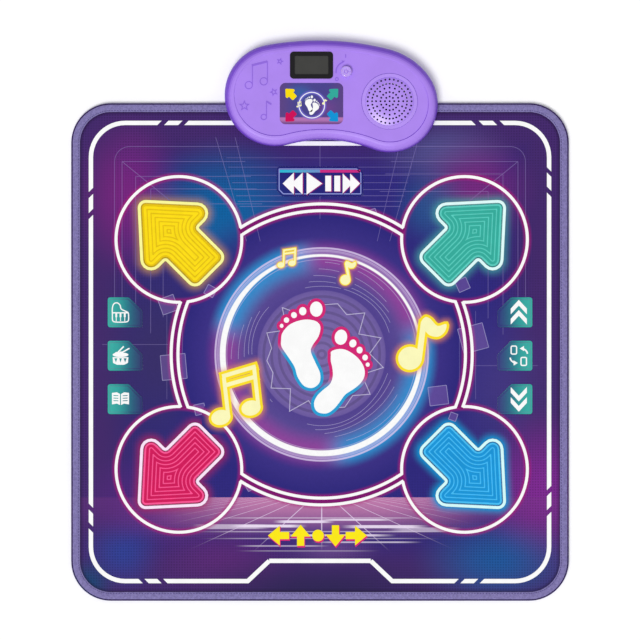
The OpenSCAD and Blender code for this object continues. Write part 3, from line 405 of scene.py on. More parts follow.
def glow_layer(name, shapes, reach, pitch, material, level, hole=None):
    """A printed glow round shapes. Its strength falls off with the distance, in the mesh's own numbers."""
    x0, x1, y0, y1 = span(p for s in shapes for p in s)
    x0, x1, y0, y1 = x0 - reach, x1 + reach, y0 - reach, y1 + reach
    nx, ny = int((x1 - x0) / pitch) + 1, int((y1 - y0) / pitch) + 1
    loose = [(x0 + (x1 - x0) * i / nx, y0 + (y1 - y0) * j / ny) for i in range(nx + 1) for j in range(ny + 1)]
    gap = distance_to(loose, shapes)
    # Loose points stop a little beyond the glow, and none crowds the hole's edge
    loose = [p for p, d in zip(loose, gap) if d < reach + 1.5 * pitch and (hole is None or d > 0.35 * pitch)]
    frame_loop = [(x0 - 1, y0 - 1), (x1 + 1, y0 - 1), (x1 + 1, y1 + 1), (x0 - 1, y1 + 1)]
    co, tris = fill([frame_loop], [hole] if hole else [], loose)
    far = distance_to(co, shapes)
    tris = [t for t in tris if min(far[i] for i in t) < reach]
    used = sorted({i for t in tris for i in t})
    place = {v: i for i, v in enumerate(used)}
    tris = [[place[i] for i in t] for t in tris]
    z = SHEET_Z + (level - 1) * settings("dance_print").ink
    piece = add_piece(name, *slab([co[i] for i in used], tris, z, z + settings("dance_print").ink), material,
                      "printed_sheet")
    strength = [float(max(0.0, 1 - far[i] / reach)) ** 2 for i in used] * 2
    piece.data.attributes.new("glow", "FLOAT", "POINT").data.foreach_set("value", strength)


# ---------------------------------------------------------------- node writing
def shade(colour):
    """A colour for a socket, from a setting or from a tuple of numbers up to 255."""
    parts = [c / 255 for c in colour] if isinstance(colour, tuple) else colour
    return [*(c / 12.92 if c <= 0.04045 else ((c + 0.055) / 1.055) ** 2.4 for c in parts), 1.0]


class Nodes:
    """Writes a node tree: each call adds one node and gives back its socket."""

    def __init__(self, tree):
        self.tree = tree

    def add(self, kind, *inputs, out=0, **words):
        """A node with its inputs in order; None leaves one as it is."""
        node = self.tree.nodes.new(kind)
        for key, value in words.items():
            setattr(node, key, value)
        for socket, value in zip(node.inputs, inputs):
            self.set(socket, value)
        return node.outputs[out]

    def set(self, socket, value):
        if isinstance(value, bpy.types.NodeSocket):
            self.tree.links.new(value, socket)
        elif value is not None:
            socket.default_value = value

    def sum(self, operation, *values):
        """One step of arithmetic."""
        return self.add("ShaderNodeMath", *values, operation=operation)

    plus = partialmethod(sum, "ADD")
    minus = partialmethod(sum, "SUBTRACT")
    most = partialmethod(sum, "MAXIMUM")
    size = partialmethod(sum, "ABSOLUTE")
    above = partialmethod(sum, "GREATER_THAN")
    below = partialmethod(sum, "LESS_THAN")
    fold = partialmethod(sum, "PINGPONG")

    def times(self, product, *others):
        for other in others:
            product = self.sum("MULTIPLY", product, other)
        return product

    def gap(self, a, b):
        """How far apart two numbers are."""
        return self.size(self.minus(a, b))

    def fade(self, value, start, end, low=0.0, high=1.0):
        """From low at start to high at end, eased at both."""
        return self.add("ShaderNodeMapRange", value, start, end, low, high, interpolation_type="SMOOTHSTEP")

    def mix(self, factor, a, b, blend="MIX"):
        """Two colours mixed; one that is not a socket goes through shade."""
        node = self.tree.nodes.new("ShaderNodeMix")
        node.data_type, node.blend_type = "RGBA", blend
        self.set(node.inputs[0], factor)
        for socket, value in zip(node.inputs[6:8], (a, b)):
            self.set(socket, value if isinstance(value, bpy.types.NodeSocket) else shade(value))
        return node.outputs[2]

    def vector(self, operation, *values, out=0):
        return self.add("ShaderNodeVectorMath", *values, operation=operation, out=out)

    length = partialmethod(vector, "LENGTH", out=1)

    def dim(self, colour, factor):
        """The colour times a factor."""
        return self.vector("SCALE", colour, None, None, factor)

    def split(self, v):
        node = self.tree.nodes.new("ShaderNodeSeparateXYZ")
        self.set(node.inputs[0], v)
        return node.outputs

    def here(self):
        """The place in metres."""
        return self.add("ShaderNodeTexCoord", out=3)

    def place(self):
        """The place in millimetres from the middle of the mat."""
        here = self.vector("SUBTRACT", self.here(), (MAT_C.x, MAT_C.y, 0.0))
        return self.vector("MULTIPLY", here, (1000.0, 1000.0, 1000.0))

    def away(self, here, at):
        """From a flat place to here, without the height."""
        return self.vector("MULTIPLY", self.vector("SUBTRACT", here, (*at, 0.0)), (1.0, 1.0, 0.0))

    def spot(self, colour, here, x, y, rx, ry, tint, strength=1.0):
        """A soft round stain of another colour."""
        v = self.vector("MULTIPLY", self.vector("SUBTRACT", here, (x, y, 0.0)), (1 / rx, 1 / ry, 0.0))
        return self.mix(self.fade(self.length(v), 0.0, 1.0, strength, 0.0), colour, tint)


def new_material(name):
    """A material with an empty tree, its node writer and its surface shader."""
    material = bpy.data.materials.new(name)
    material.use_nodes = True
    tree = material.node_tree
    tree.nodes.clear()
    shader = tree.nodes.new("ShaderNodeBsdfPrincipled")
    tree.links.new(shader.outputs[0], tree.nodes.new("ShaderNodeOutputMaterial").inputs[0])
    return material, Nodes(tree), shader


def set_shader(shader, **values):
    """Sets inputs of the surface shader by their names."""
    for key, value in values.items():
        shader.inputs[key.replace("_", " ")].default_value = value


def surface(name, colour, vary, scale, depth, kind, rough, distance, **values):
    """A finish. colour is a colour or a function that writes it, and vary is how uneven it is and at what
    scale. The rest is its fine relief (NOISE, WEAVE or PEBBLE) and its gloss."""
    material, n, shader = new_material(name)
    colour = colour(n) if callable(colour) else colour
    amount, cloud_scale = vary
    cloud = n.add("ShaderNodeTexNoise", n.here(), None, cloud_scale, 3.0)
    lighter = n.fade(cloud, 0.3, 0.7, 1 - amount, 1 + amount)
    grey = n.add("ShaderNodeCombineColor", lighter, lighter, lighter)
    n.set(shader.inputs["Base Color"], n.mix(1.0, colour, grey, "MULTIPLY"))
    if kind == "WEAVE":
        height = n.times(*(n.add("ShaderNodeTexWave", n.here(), scale, 0.4, out=1, wave_type="BANDS",
                                 bands_direction=way) for way in "XY"))
    elif kind == "PEBBLE":
        height = n.add("ShaderNodeTexVoronoi", n.here(), None, scale)
    else:
        height = n.add("ShaderNodeTexNoise", n.here(), None, scale, 4.0)
    bump = n.tree.nodes.new("ShaderNodeBump")
    for key, value in (("Strength", depth), ("Distance", distance), ("Height", height)):
        n.set(bump.inputs[key], value)
    n.set(shader.inputs["Normal"], bump.outputs[0])
    n.set(shader.inputs["Roughness"], n.fade(height, 0.2, 0.8, *rough))
    set_shader(shader, **values)
    return material


FINISHES = {}


def finish(name, colour, rough=(0.4, 0.5), scale=900.0, depth=0.15, kind="NOISE", distance=0.0002,
           vary=0.04, **values):
    """A plain finish with its own grain; made once and shared."""
    if name not in FINISHES:
        FINISHES[name] = surface(name, colour, (vary, 60.0), scale, depth, kind, rough, distance, **values)
    return FINISHES[name]


def dress(node, material):
    """Gives a CAD node its material."""
    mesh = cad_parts[node].data
    mesh.materials.clear()
    mesh.materials.append(material)


# ---------------------------------------------------------------- the print's ground
# Places and sizes in millimetres from the middle of the mat
ARROW_AT = (229.4, 184.7)
ART = point_mm("print_centre")
HORIZON = point_mm("horizon")[1]
VANISH = 12.8       # how far the floor's vanishing point lies behind the horizon
# Where the purple edge starts and is full, the same for the grid by both ways out added up, and where the
# lit floor is brightest and ends
EDGE_FADE = (270.0, 352.0)
GRID_FADE = (270.0, 470.0)
FLOOR_FADE = (2.0, 72.0)
# The rounded square outside which the sheet gets painted shade where it dips under the binding: half of its
# straight part, and the radii of its corners where the painted shade starts and is full
BINDING_SHADE_SIDE = 336.0
BINDING_SHADE_FADE = (43.0, 50.0)
# Half of the distance from one ripple of the foot disc to the next, and from one floor line to the next as a
# share of the way to the vanishing point
RIPPLE_HALF = 6.2
FLOOR_LINE_HALF = 0.55
# How far the neon ring glows outwards and inwards, and how far the magenta lines do
NEON_OUT, NEON_IN = 32, 40
MAGENTA_OUT = 6.5
# Cool parts of the neon ring: direction, and the cosines where each starts and is full
COOL = ((132, 0.72, 0.92), (-34, 0.5, 0.8))
# Thin pale lines beside it: distance outside it, half width, strength
NEON_LINES = ((11.8, 1.3, 0.7), (8.2, 0.5, 0.45), (6.4, 0.4, 0.4), (-6.6, 0.4, 0.4))
# Light streaks on the floor: place, distance in front of the horizon, half length, half height, strength
STREAKS = ((-84, 46, 66, 2.0, 0.95), (-26, 39, 52, 1.9, 0.95), (58, 36, 66, 1.2, 0.85), (104, 47, 74, 2.2, 0.9),
           (26, 61, 100, 1.5, 0.8), (-142, 47, 66, 3.6, 0.5), (168, 52, 62, 3.4, 0.45), (76, 72, 92, 1.0, 0.6),
           (-60, 78, 80, 0.8, 0.5), (0, 33, 190, 0.6, 0.5), (0, 55, 215, 0.7, 0.45), (0, 66, 200, 0.6, 0.4),
           (-20, 86, 120, 0.5, 0.35))
# Soft stains: place, reach across and along, colour, strength
STAINS = (
    (0, 150, 330, 170, (48, 42, 118), 0.7),
    (-262, 0, 130, 230, (52, 42, 96), 0.9),
    (-306, 250, 100, 150, (120, 34, 126), 0.95),
    (-152, 232, 150, 128, (4, 92, 154), 1.0),
    (-185, 205, 100, 80, (8, 96, 158), 0.5),
    (196, 320, 130, 66, (84, 82, 142), 0.85),
    (250, 262, 110, 100, (116, 38, 124), 0.95),
    (292, -60, 110, 170, (66, 54, 124), 0.7),
    (352, -222, 110, 150, (124, 38, 142), 0.95),
    (284, -336, 150, 84, (14, 88, 156), 0.85),
    (178, 234, 70, 80, (24, 98, 150), 0.55),
    (20, -318, 90, 34, (150, 104, 170), 0.25),
    (-250, -268, 110, 50, (150, 60, 140), 0.3),
    (-318, -322, 80, 74, (44, 62, 146), 0.9),
    (-372, -372, 50, 50, (14, 66, 112), 0.9),
    (-318, -238, 84, 84, (84, 36, 126), 0.6),
    (-160, -330, 150, 80, (98, 38, 118), 0.6),
    (0, -386, 270, 70, (40, 32, 78), 0.9),
)
# The disc's colours from its middle to the double ring
DISC_RAMP = ((0.0, (126, 106, 170)), (0.42, (112, 94, 162)), (0.443, (106, 88, 158)), (0.447, (80, 64, 142)),
             (0.6, (92, 76, 150)), (0.69, (98, 82, 156)), (0.78, (60, 48, 134)), (1.0, (40, 34, 120)))


def print_group():
    """The ground of the print as one node group: stains, grid, glows, neon ring, lit floor, and painted shade
    by the binding.
    """
    found = bpy.data.node_groups.get("mat print")
    if found:
        return found
    sizes, colours = settings("dance_print"), settings("dance_colours")
    tree = bpy.data.node_groups.new("mat print", "ShaderNodeTree")
    tree.interface.new_socket("Color", in_out="OUTPUT", socket_type="NodeSocketColor")
    n = Nodes(tree)
    here = n.place()
    x, y, _ = n.split(here)
    far_x, far_y = n.size(x), n.size(y)
    colour = n.mix(n.fade(n.most(far_x, far_y), *EDGE_FADE, 0.0, 0.95), colours.navy, colours.purple)
    for stain in STAINS:
        colour = n.spot(colour, here, *stain)
    # Fine grid, strongest towards the corners
    pitch = sizes.grid / MM
    dots = n.times(*(n.fade(n.fold(v, pitch / 2), pitch * 0.16, pitch * 0.3) for v in (x, y)))
    corner = n.fade(n.plus(far_x, far_y), *GRID_FADE)
    colour = n.dim(colour, n.minus(1.1, n.times(dots, corner, 0.36)))
    # The disc inside the double ring; its edge is soft inside the arrow circles
    v = n.away(here, ART)
    r = n.length(v)
    inner, circle_r, disc_r, neon = (
        s / MM for s in (sizes.ring_in, sizes.circle_r, sizes.disc_r, sizes.neon_r))
    ramp = tree.nodes.new("ShaderNodeValToRGB")
    while len(ramp.color_ramp.elements) < len(DISC_RAMP):
        ramp.color_ramp.elements.new(0.5)
    for element, (at, tint) in zip(ramp.color_ramp.elements, DISC_RAMP):
        element.position, element.color = at, shade(tint)
    n.set(ramp.inputs[0], n.sum("DIVIDE", r, inner))
    cx, cy, _ = n.split(v)
    quarter = n.add("ShaderNodeCombineXYZ", n.size(cx), n.size(cy), 0.0)
    circle = n.length(n.vector("SUBTRACT", quarter, (*ARROW_AT, 0.0)))
    soft = n.fade(circle, circle_r, circle_r - 2, 1.0, 42.0)
    colour = n.mix(n.fade(r, n.plus(soft, inner), n.minus(inner, soft)), colour, ramp.outputs[0])
    ripple = n.times(n.fade(n.fold(r, RIPPLE_HALF), 3.4, 4.6), n.fade(r, disc_r, disc_r - 1.5, 0.0, 0.26))
    colour = n.dim(colour, n.minus(1.0, ripple))
    # Neon ring: cool towards the upper left and lower right, warm elsewhere
    way = n.vector("NORMALIZE", v)
    cool = []
    for degrees, edge, full in COOL:
        aim = (*around((0.0, 0.0), 1.0, degrees), 0.0)
        cool.append(n.fade(n.vector("DOT_PRODUCT", way, aim, out=1), edge, full))
    warm = n.minus(1.0, n.most(*cool))
    outer = n.times(n.fade(r, neon + 6, neon + NEON_OUT, 0.85, 0.0), n.fade(warm, 0.0, 1.0, 1.0, 0.35))
    within = n.times(n.fade(r, neon - 3, neon - NEON_IN, 0.8, 0.0), n.fade(warm, 0.0, 1.0, 0.9, 0.62))
    side = n.above(r, neon)
    halo = n.plus(n.times(side, outer), n.times(n.minus(1.0, side), within))
    colour = n.mix(halo, colour, n.mix(warm, colours.blue, colours.violet))
    veil = n.times(n.fade(r, neon, neon + 1), n.fade(r, neon + 12, neon + 10, 0.0, 0.24))
    colour = n.mix(veil, colour, (206, 184, 240))
    for off, width, strength in NEON_LINES:
        line = n.fade(n.gap(r, neon + off), width + 0.5, width - 0.3, 0.0, strength)
        colour = n.mix(line, colour, (226, 208, 246))
    # The white core is thinnest towards the rear
    wx, wy, _ = n.split(way)
    half = n.fade(n.plus(n.times(wx, 0.5), n.times(wy, 0.87)), -0.3, 0.95, 4.4, 1.7)
    core = n.fade(n.gap(r, neon), n.plus(half, 1.2), n.minus(half, 0.6))
    colour = n.mix(core, colour, colours.white)
    # The floor in front, with its streaks and its lines from the vanishing point
    depth = n.minus(HORIZON, y)
    ground = n.above(depth, 0.0)
    tint = n.mix(n.fade(far_x, 90.0, 300.0, 1.0, 0.0), (120, 56, 132), (204, 130, 178))
    level = n.times(ground, n.fade(depth, *FLOOR_FADE, 0.86, 0.0), n.fade(far_x, 200.0, 340.0, 1.0, 0.3))
    colour = n.mix(level, colour, tint)
    for at_x, at_depth, length, height, strength in STREAKS:
        across = n.fade(n.gap(x, at_x), length, length * 0.5)
        along = n.fade(n.gap(depth, at_depth), height + 0.7, height - 0.3)
        colour = n.mix(n.times(across, along, strength), colour, (240, 226, 248))
    reach = n.plus(depth, VANISH)
    off = n.times(n.fold(n.sum("DIVIDE", n.minus(x, ART[0]), reach), FLOOR_LINE_HALF), reach)
    line = n.times(n.fade(off, 1.2, 0.5), n.fade(depth, 90.0, 40.0, 0.0, 0.8), ground,
                   n.fade(far_x, 250.0, 130.0))
    colour = n.mix(line, colour, (236, 216, 246))
    # Magenta glow along the double ring and the arrow circles
    ring_mid = (sizes.ring_out + sizes.ring_in) / 2 / MM
    ring_half = (sizes.ring_out - sizes.ring_in + sizes.ring_w) / 2 / MM
    circle_half = sizes.circle_w / 2 / MM
    ring_glow = n.times(n.fade(n.minus(n.gap(r, ring_mid), ring_half), -1.0, MAGENTA_OUT, 0.7, 0.0),
                        n.fade(circle, circle_r - 2, circle_r))
    circle_glow = n.fade(n.minus(n.gap(circle, circle_r), circle_half), -1.0, MAGENTA_OUT, 0.72, 0.0)
    colour = n.mix(n.most(ring_glow, circle_glow), colour, colours.magenta)
    # Painted shade where the sheet dips under the binding
    binding_shade = n.add("ShaderNodeCombineXYZ", *(n.most(n.minus(far, BINDING_SHADE_SIDE), 0.0) for far in (far_x, far_y)), 0.0)
    colour = n.mix(n.fade(n.length(binding_shade), *BINDING_SHADE_FADE, 0.0, 0.62), colour, (24, 12, 44))
    n.set(tree.nodes.new("NodeGroupOutput").inputs[0], colour)
    return tree


INK_GLOSS = 0.06
SHEET_GRAIN = (1500.0, 0.12, "PEBBLE")


def sheet_finish(name, recolour=None):
    """The coated top sheet: the print's ground under a fine embossed grain."""
    def colour(n):
        ground = n.add("ShaderNodeGroup", node_tree=print_group())
        return recolour(n, ground) if recolour else ground
    return surface(name, colour, (0.025, 220.0), *SHEET_GRAIN, (0.5, 0.6), 0.00006,
                   Specular_IOR_Level=INK_GLOSS)


def over_print(name, tint, amount):
    """A see-through ink: the ground under it, tinted by amount."""
    return sheet_finish(name, lambda n, ground: n.mix(amount, ground, tint))


def glow_ink(name, tint, strength):
    """An ink that fades out by the mesh's own glow numbers."""
    def recolour(n, ground):
        fade = n.add("ShaderNodeAttribute", out=2, attribute_name="glow")
        return n.mix(n.times(fade, strength), ground, tint)
    return sheet_finish(name, recolour)


def ink(name, colour):
    """A solid printed ink with the sheet's grain."""
    return finish(name, colour, (0.48, 0.58), *SHEET_GRAIN, 0.00006, 0.02, Specular_IOR_Level=INK_GLOSS)


# ---------------------------------------------------------------- drawings, in millimetres
def note(grow=0.0):
    """A single note: head, stem and a swung flag."""
    flag = smooth_loop([(-3, 33), (4, 44), (13, 41), (24, 30), (38, 33), (36, 21), (26, 13), (14, 14),
                        (6, 20)])
    return [oval(-20, -22, 19, 18.4, 20, grow), bar([(-5.5, -22), (2, 36)], 9, grow),
            outset(anticlockwise(flag), grow)]


def beamed_note(grow=0.0):
    """Two heads under a double beam."""
    return [oval(-24, -35.5, 15.5, 12, 14, grow), oval(24.4, -20.4, 15.5, 12, 14, grow),
            bar([(-12.2, -32), (-19.2, 29)], 6, grow), bar([(36.2, -17), (29.4, 44)], 6, grow),
            bar([(-21.8, 30.4), (32, 46.4)], 6.4, grow), bar([(-18, 15.6), (33.4, 30.6)], 6.4, grow)]


LEFT_SOLE = [(-39.3, 19.4), (-26.2, 33.2), (-4.7, 40.1), (13.8, 37.8), (21.4, 28.6), (18.4, 13.2),
             (9.2, -0.6), (6.1, -11.3), (13.8, -29.8), (20.7, -45.2), (20.7, -59.0), (13.8, -67.4),
             (4.5, -69.7), (-6.2, -65.1), (-15.4, -51.3), (-20.0, -35.9), (-30.8, -19.0), (-40.8, -3.7),
             (-41.6, 7.1)]
LEFT_TOES = [(14.8, 57, 10.1, 12.2, 0), (-6.9, 53.7, 5.8, 6.6, 0), (-21, 47.4, 4.6, 4.9, 20),
             (-33.1, 39.4, 4.3, 4.4, 0), (-40.8, 30.2, 2.9, 3.3, 0)]
RIGHT_SOLE = [(-16.0, 32.1), (-6.0, 35.9), (6.3, 35.1), (20.1, 27.4), (30.9, 16.7), (37.0, 4.4), (37.0, -7.9),
              (30.9, -18.7), (20.1, -27.9), (6.3, -37.1), (-2.9, -49.4), (-12.1, -60.2), (-22.9, -67.1),
              (-35.2, -66.3), (-42.1, -60.2), (-43.6, -49.4), (-38.3, -38.6), (-29.0, -29.4), (-18.3, -20.2),
              (-13.7, -7.9), (-14.4, 5.9), (-16.8, 16.7), (-16.8, 25.9)]
RIGHT_TOES = [(-0.6, 55.1, 10, 12.2, -8), (18.6, 45.1, 5.6, 6.4, -20), (29.4, 34.4, 4.8, 5.4, 0),
              (38.2, 22.5, 4.4, 4.7, 0), (42.4, 11.1, 3.2, 3.4, 0)]
# Each foot's sole, its toes, how far to the right of its image point it is drawn, and the two places along
# the mat between which its rim turns from cyan to pink
FEET = {"left": (LEFT_SOLE, LEFT_TOES, 9.4, -8.0, 16.0), "right": (RIGHT_SOLE, RIGHT_TOES, 0.0, -61.0, -34.0)}


def footprint(side, grow=0.0):
    """A sole and five toes, with their edges moved out by grow."""
    sole, toes = FEET[side][:2]
    return [outset(anticlockwise(smooth_loop(sole)), grow)] + [oval(*toe, grow=grow) for toe in toes]


def bottom_loop(node):
    """The outline of a flat CAD node, in millimetres from the middle of the mat."""
    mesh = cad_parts[node].data
    low = min(v.co.z for v in mesh.vertices)
    edges = set()
    for f in mesh.polygons:
        corners = [mesh.vertices[i].co for i in f.vertices]
        if f.normal.z < -0.9 and all(abs(c.z - low) < 1e-5 for c in corners):
            keys = [tuple(round(part, 3) for part in flat(c)) for c in corners]
            edges |= {(keys[i - 1], keys[i]) for i in range(len(keys))}
    follow = {a: b for a, b in edges if (b, a) not in edges}
    start = here = min(follow)
    loop = []
    while True:
        loop.append(here)
        here = follow[here]
        if here == start or len(loop) > len(follow):
            return anticlockwise(loop)


# ---------------------------------------------------------------- pieces: the printed sheet
def slashed(points, width, cuts):
    """A line along points, broken by slanted cuts: each is (start, end, direction of the line's ends)."""
    lengths = [0.0]
    for p, q in zip(points, points[1:]):
        lengths.append(lengths[-1] + math.dist(p, q))

    def at(d):
        for i, (p, q) in enumerate(zip(points, points[1:])):
            if d <= lengths[i + 1] + 1e-9:
                t = (d - lengths[i]) / (lengths[i + 1] - lengths[i])
                return (p[0] + (q[0] - p[0]) * t, p[1] + (q[1] - p[1]) * t)
        return points[-1]
    bars, start, slant = [], 0.0, None
    for d0, d1, lean in [*cuts, (lengths[-1], None, None)]:
        inner = [p for p, d in zip(points, lengths) if start + 0.05 < d < d0 - 0.05]
        bars.append(bar([at(start), *inner, at(d0)], width, cut=(slant, lean)))
        start, slant = d1, lean
    return bars


# The border's notch: half of its width inside and outside, and its depth at the front and at the rear
NOTCH_IN, NOTCH_OUT = 81.5, 116.0
NOTCH_FRONT, NOTCH_REAR = 32.5, 33.0
# Gaps in the border by their distance from the middle of the front, side front, side rear and rear edge
GAPS_RIGHT = (((219.3, 229.0), (250.6, 260.2)), ((218.5, 228.1), (250.6, 260.2)),
              ((252.6, 262.3), (284.8, 293.4)), ((246.8, 258.6), (281.1, 292.4)))
GAPS_LEFT = (((248.4, 258.0), (278.5, 288.2)), ((246.8, 256.4), (277.0, 286.8)),
             ((216.8, 226.6), (250.5, 260.3)), ((214.7, 224.5), (247.0, 258.0)))
SLANT = 0.707       # both parts of the direction of a gap's ends
RING_LAP = 0.35     # degrees that the double ring's lines run on under the arrow circles
BAND_LAP = 2.0      # how far the ring's band runs on under them


def border_half(gaps):
    """The border's right half: a rounded square, notched in front and behind and slashed by each corner."""
    sizes = settings("dance_print")
    b, r = sizes.border / MM, sizes.border_r / MM
    loop = [(NOTCH_IN, -b + NOTCH_FRONT), (NOTCH_OUT, -b), *arc(b - r, -b + r, r, -90, 0, 12),
            *arc(b - r, b - r, r, 0, 90, 12), (NOTCH_OUT, b), (NOTCH_IN, b - NOTCH_REAR), (0, b - NOTCH_REAR)]
    front_at = math.dist(loop[0], loop[1]) - NOTCH_OUT
    side_at = front_at + 2 * b - 2 * r + r * math.pi / 2
    rear_at = side_at + 2 * b - 2 * r + r * math.pi / 2
    marks = []
    middles = (front_at, side_at, side_at, rear_at)
    for middle, way, lean, edge in zip(middles, (1, -1, 1, -1), (1, 1, -1, -1), gaps):
        for gap in edge:
            marks.append((*sorted(middle + way * d for d in gap), (lean * SLANT, SLANT)))
    return slashed(loop, sizes.line / MM, sorted(marks))


def ring_shapes():
    """The arrow circles and the double ring, which open into one another, and the band in the ring."""
    sizes = settings("dance_print")
    circle_w, ring_w, circle, outer, inner = (
        s / MM for s in (sizes.circle_w, sizes.ring_w, sizes.circle_r, sizes.ring_out, sizes.ring_in))
    far = math.hypot(*ARROW_AT)

    def meets(radius, other):
        """Half of the angle between the places where a circle meets another, seen from its middle."""
        return math.degrees(math.acos((radius**2 + far**2 - other**2) / (2 * radius * far)))
    lines, band = [], []
    for sx, sy in ((-1, -1), (-1, 1), (1, -1), (1, 1)):
        at = (ART[0] + sx * ARROW_AT[0], ART[1] + sy * ARROW_AT[1])
        aim = math.degrees(math.atan2(sy * ARROW_AT[1], sx * ARROW_AT[0])) + 180
        # The circle's line outside the double ring, and the piece of it inside
        outside, inside = meets(circle, outer), meets(circle, inner)
        lines.append(bar(arc(*at, circle, aim + outside, aim + 360 - outside, 72), circle_w))
        lines.append(bar(arc(*at, circle, aim - inside, aim + inside, 36), circle_w))
    corner = math.degrees(math.atan2(ARROW_AT[1], ARROW_AT[0]))
    for aim, reach in ((0, corner), (90, 90 - corner), (180, corner), (270, 90 - corner)):
        for radius in (outer, inner):
            a = reach - meets(radius, circle) + RING_LAP
            lines.append(bar(arc(*ART, radius, aim - a, aim + a, 48), ring_w))
        middle = (outer + inner) / 2
        a = reach - meets(middle, circle - BAND_LAP)
        band.append(bar(arc(*ART, middle, aim - a, aim + a, 48), outer - inner))
    return lines, band


class DANCE_OT_sheet(bpy.types.Operator):
    """Prints the top sheet and its white lines"""
    bl_idname = "dance.sheet"
    bl_label = "Printed sheet"

    def execute(self, context):
        sizes, colours = settings("dance_print"), settings("dance_colours")
        dress("top_sheet", sheet_finish("printed sheet"))
        white = ink("white ink", colours.white)
        front = -sizes.border / MM + NOTCH_FRONT
        left = [[(-x, y) for x, y in s] for s in border_half(GAPS_LEFT)]
        middle = [bar([(-NOTCH_IN - 0.01, front), (NOTCH_IN + 0.01, front)], sizes.line / MM)]
        print_layer("border_line", border_half(GAPS_RIGHT) + left + middle, white, 4)
        lines, band = ring_shapes()
        print_layer("ring_lines", lines, white, 4)
        print_layer("ring_band", band, ink("ring band ink", colours.band), 3)
        SHOWN["print_centre"] = ("top_sheet", ART)
        SHOWN["horizon"] = ("top_sheet", (0.0, HORIZON))
        SHOWN["border_line"] = ("top_sheet", (0.0, front))
        return {"FINISHED"}


# Starts of the rulings: each runs forwards and towards the middle
RULED = ((-318, 306), (-296, 282), (-272, 262), (-252, 238), (318, 306), (294, 286), (270, 258))
# Tilted see-through squares round the double ring: place, side and turn
SQUARES = ((-244, 76, 27, 20), (-176, 98, 17, -28), (-235, -24, 41, 5), (-193, -92, 18, 12), (229, 108, 20, 24),
           (246, 22, 42, 15), (190, -70, 31, 7), (-112, -214, 16, 30), (84, 222, 15, 18), (214, -104, 13, -20))
SQUARE_RIM, BURST_LINE = 1.1, 1.3      # widths of the squares' rims and of the star's line
PAD_NODES = [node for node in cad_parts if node.startswith("arrow_pad_") or node.endswith("_pad")]
PAD_CLEAR = 0.5     # how far the guide lines keep off the pads
RIPPLES = (112, 119, 127, 136, 146)     # radii of the wavy ripples round the feet
BURST_POINTS = 26       # corners of the star behind the feet, tips and hollows in turn


def faint_shapes():
    """Thin guide lines of the print: rulings towards the rear corners, a fan, and strips at the sides."""
    lines = []
    for k, (x, y) in enumerate(RULED):
        lines.append(([(x, y), (x, 58 - 14 * k % 40)], 0.8))
        lines.append(([(x, y), (math.copysign(120 - 9 * k % 30, x), y)], 0.8))
    for side in (-1, 1):
        lines.append(([(side * 318, 306), (side * 232, 236)], 0.9))
        corner = arc(side * 306, 306, 24, 90, 90 - side * 90, 8)
        lines.append(([(side * 130, 330), *corner, (side * 330, 66)], 0.8))
    lines += [([(x, 178), (x * 1.42, 345)], 0.8) for x in (-118, -96, 92, 112)]
    for k, y in enumerate((312, 297, 284, 272, 261, 251, 242, 234)):
        lines.append(([(-150 + 3 * k, y), (150 - 3 * k, y)], 0.6 + 0.05 * k))
    lines.append(([(0, 214), (0, 345)], 0.8))
    lines += [([(x, -76), (x, 66)], 0.6) for x in (-246, -232, -221, 224, 238, 250)]
    lines += [([(-350, 12), (-244, 12)], 0.7), ([(244, -22), (350, -22)], 0.7)]
    return [bar(*line) for line in lines]


class DANCE_OT_guides(bpy.types.Operator):
    """Prints the faint lines and squares between the circles"""
    bl_idname = "dance.guides"
    bl_label = "Guide lines"

    def execute(self, context):
        faint = over_print("faint ink", (186, 170, 236), 0.26)
        pads = [outset(bottom_loop(node), PAD_CLEAR) for node in PAD_NODES]
        print_layer("guide_lines", faint_shapes(), faint, 1.5, pads)
        rims = [turned(rounded_box(side, side, 1.0, steps=2), turn, (x, y)) for x, y, side, turn in SQUARES]
        panes = [outset(rim, -SQUARE_RIM) for rim in rims]
        print_layer("veil_squares", panes, over_print("veil ink", (170, 130, 216), 0.2), 1.8)
        print_layer("square_rims", rims, over_print("square rim ink", (206, 196, 246), 0.42), 2, panes)
        # Wavy ripples round the feet, in three pieces each
        waves = []
        for n, r in enumerate(RIPPLES):
            for start in (18, 138, 258):
                path = [around(ART, r + 2.5 * math.sin(math.radians(3 * a + 40 * n)), a)
                        for a in np.linspace(start + 7 * n, start + 86 - 4 * n, 40)]
                waves.append(bar(path, 0.8))
        print_layer("ripple_lines", waves, over_print("ripple ink", (214, 204, 246), 0.4), 2.3)
        # A ragged star behind the feet
        at, turn = (ART[0], ART[1] - 4), 360 / BURST_POINTS
        star = [around(at, (78, 96)[i % 2] + 7 * math.sin(2.3 * i), turn * i + 4)
                for i in range(BURST_POINTS)]
        pale = over_print("burst ink", (230, 224, 250), 0.55)
        print_layer("burst_line", [star], pale, 2.6, [outset(star, -BURST_LINE)])
        return {"FINISHED"}


class DANCE_OT_feet(bpy.types.Operator):
    """Prints the pair of footprints"""
    bl_idname = "dance.feet"
    bl_label = "Footprints"

    def execute(self, context):
        colours = settings("dance_colours")
        white = ink("white ink 2", colours.white)
        for side, (_, _, beside, low, high) in FEET.items():
            x, y = point_mm("foot_" + side)

            def recolour(n, ground):
                return n.mix(n.fade(n.split(n.place())[1], low, high), colours.cyan, colours.pink)
            rim = sheet_finish(f"{side} foot rim ink", recolour)
            print_layer(f"foot_{side}_rim", moved(footprint(side, 5.0), (x + beside, y)), rim, 5)
            print_layer(f"foot_{side}", moved(footprint(side), (x + beside, y)), white, 6)
            SHOWN["foot_" + side] = (f"foot_{side}", None)
        return {"FINISHED"}


# Each note's drawing, the width of its rim before it is scaled, its scale and its turn
NOTES = {"beamed_note": (beamed_note, 4.2, 1.0, 0.0), "eighth_note": (note, 4.2, 1.0, 0.0),
         "small_beamed_note": (beamed_note, 3.6, 0.36, -8.0), "small_note": (note, 3.6, 0.42, 18.0)}


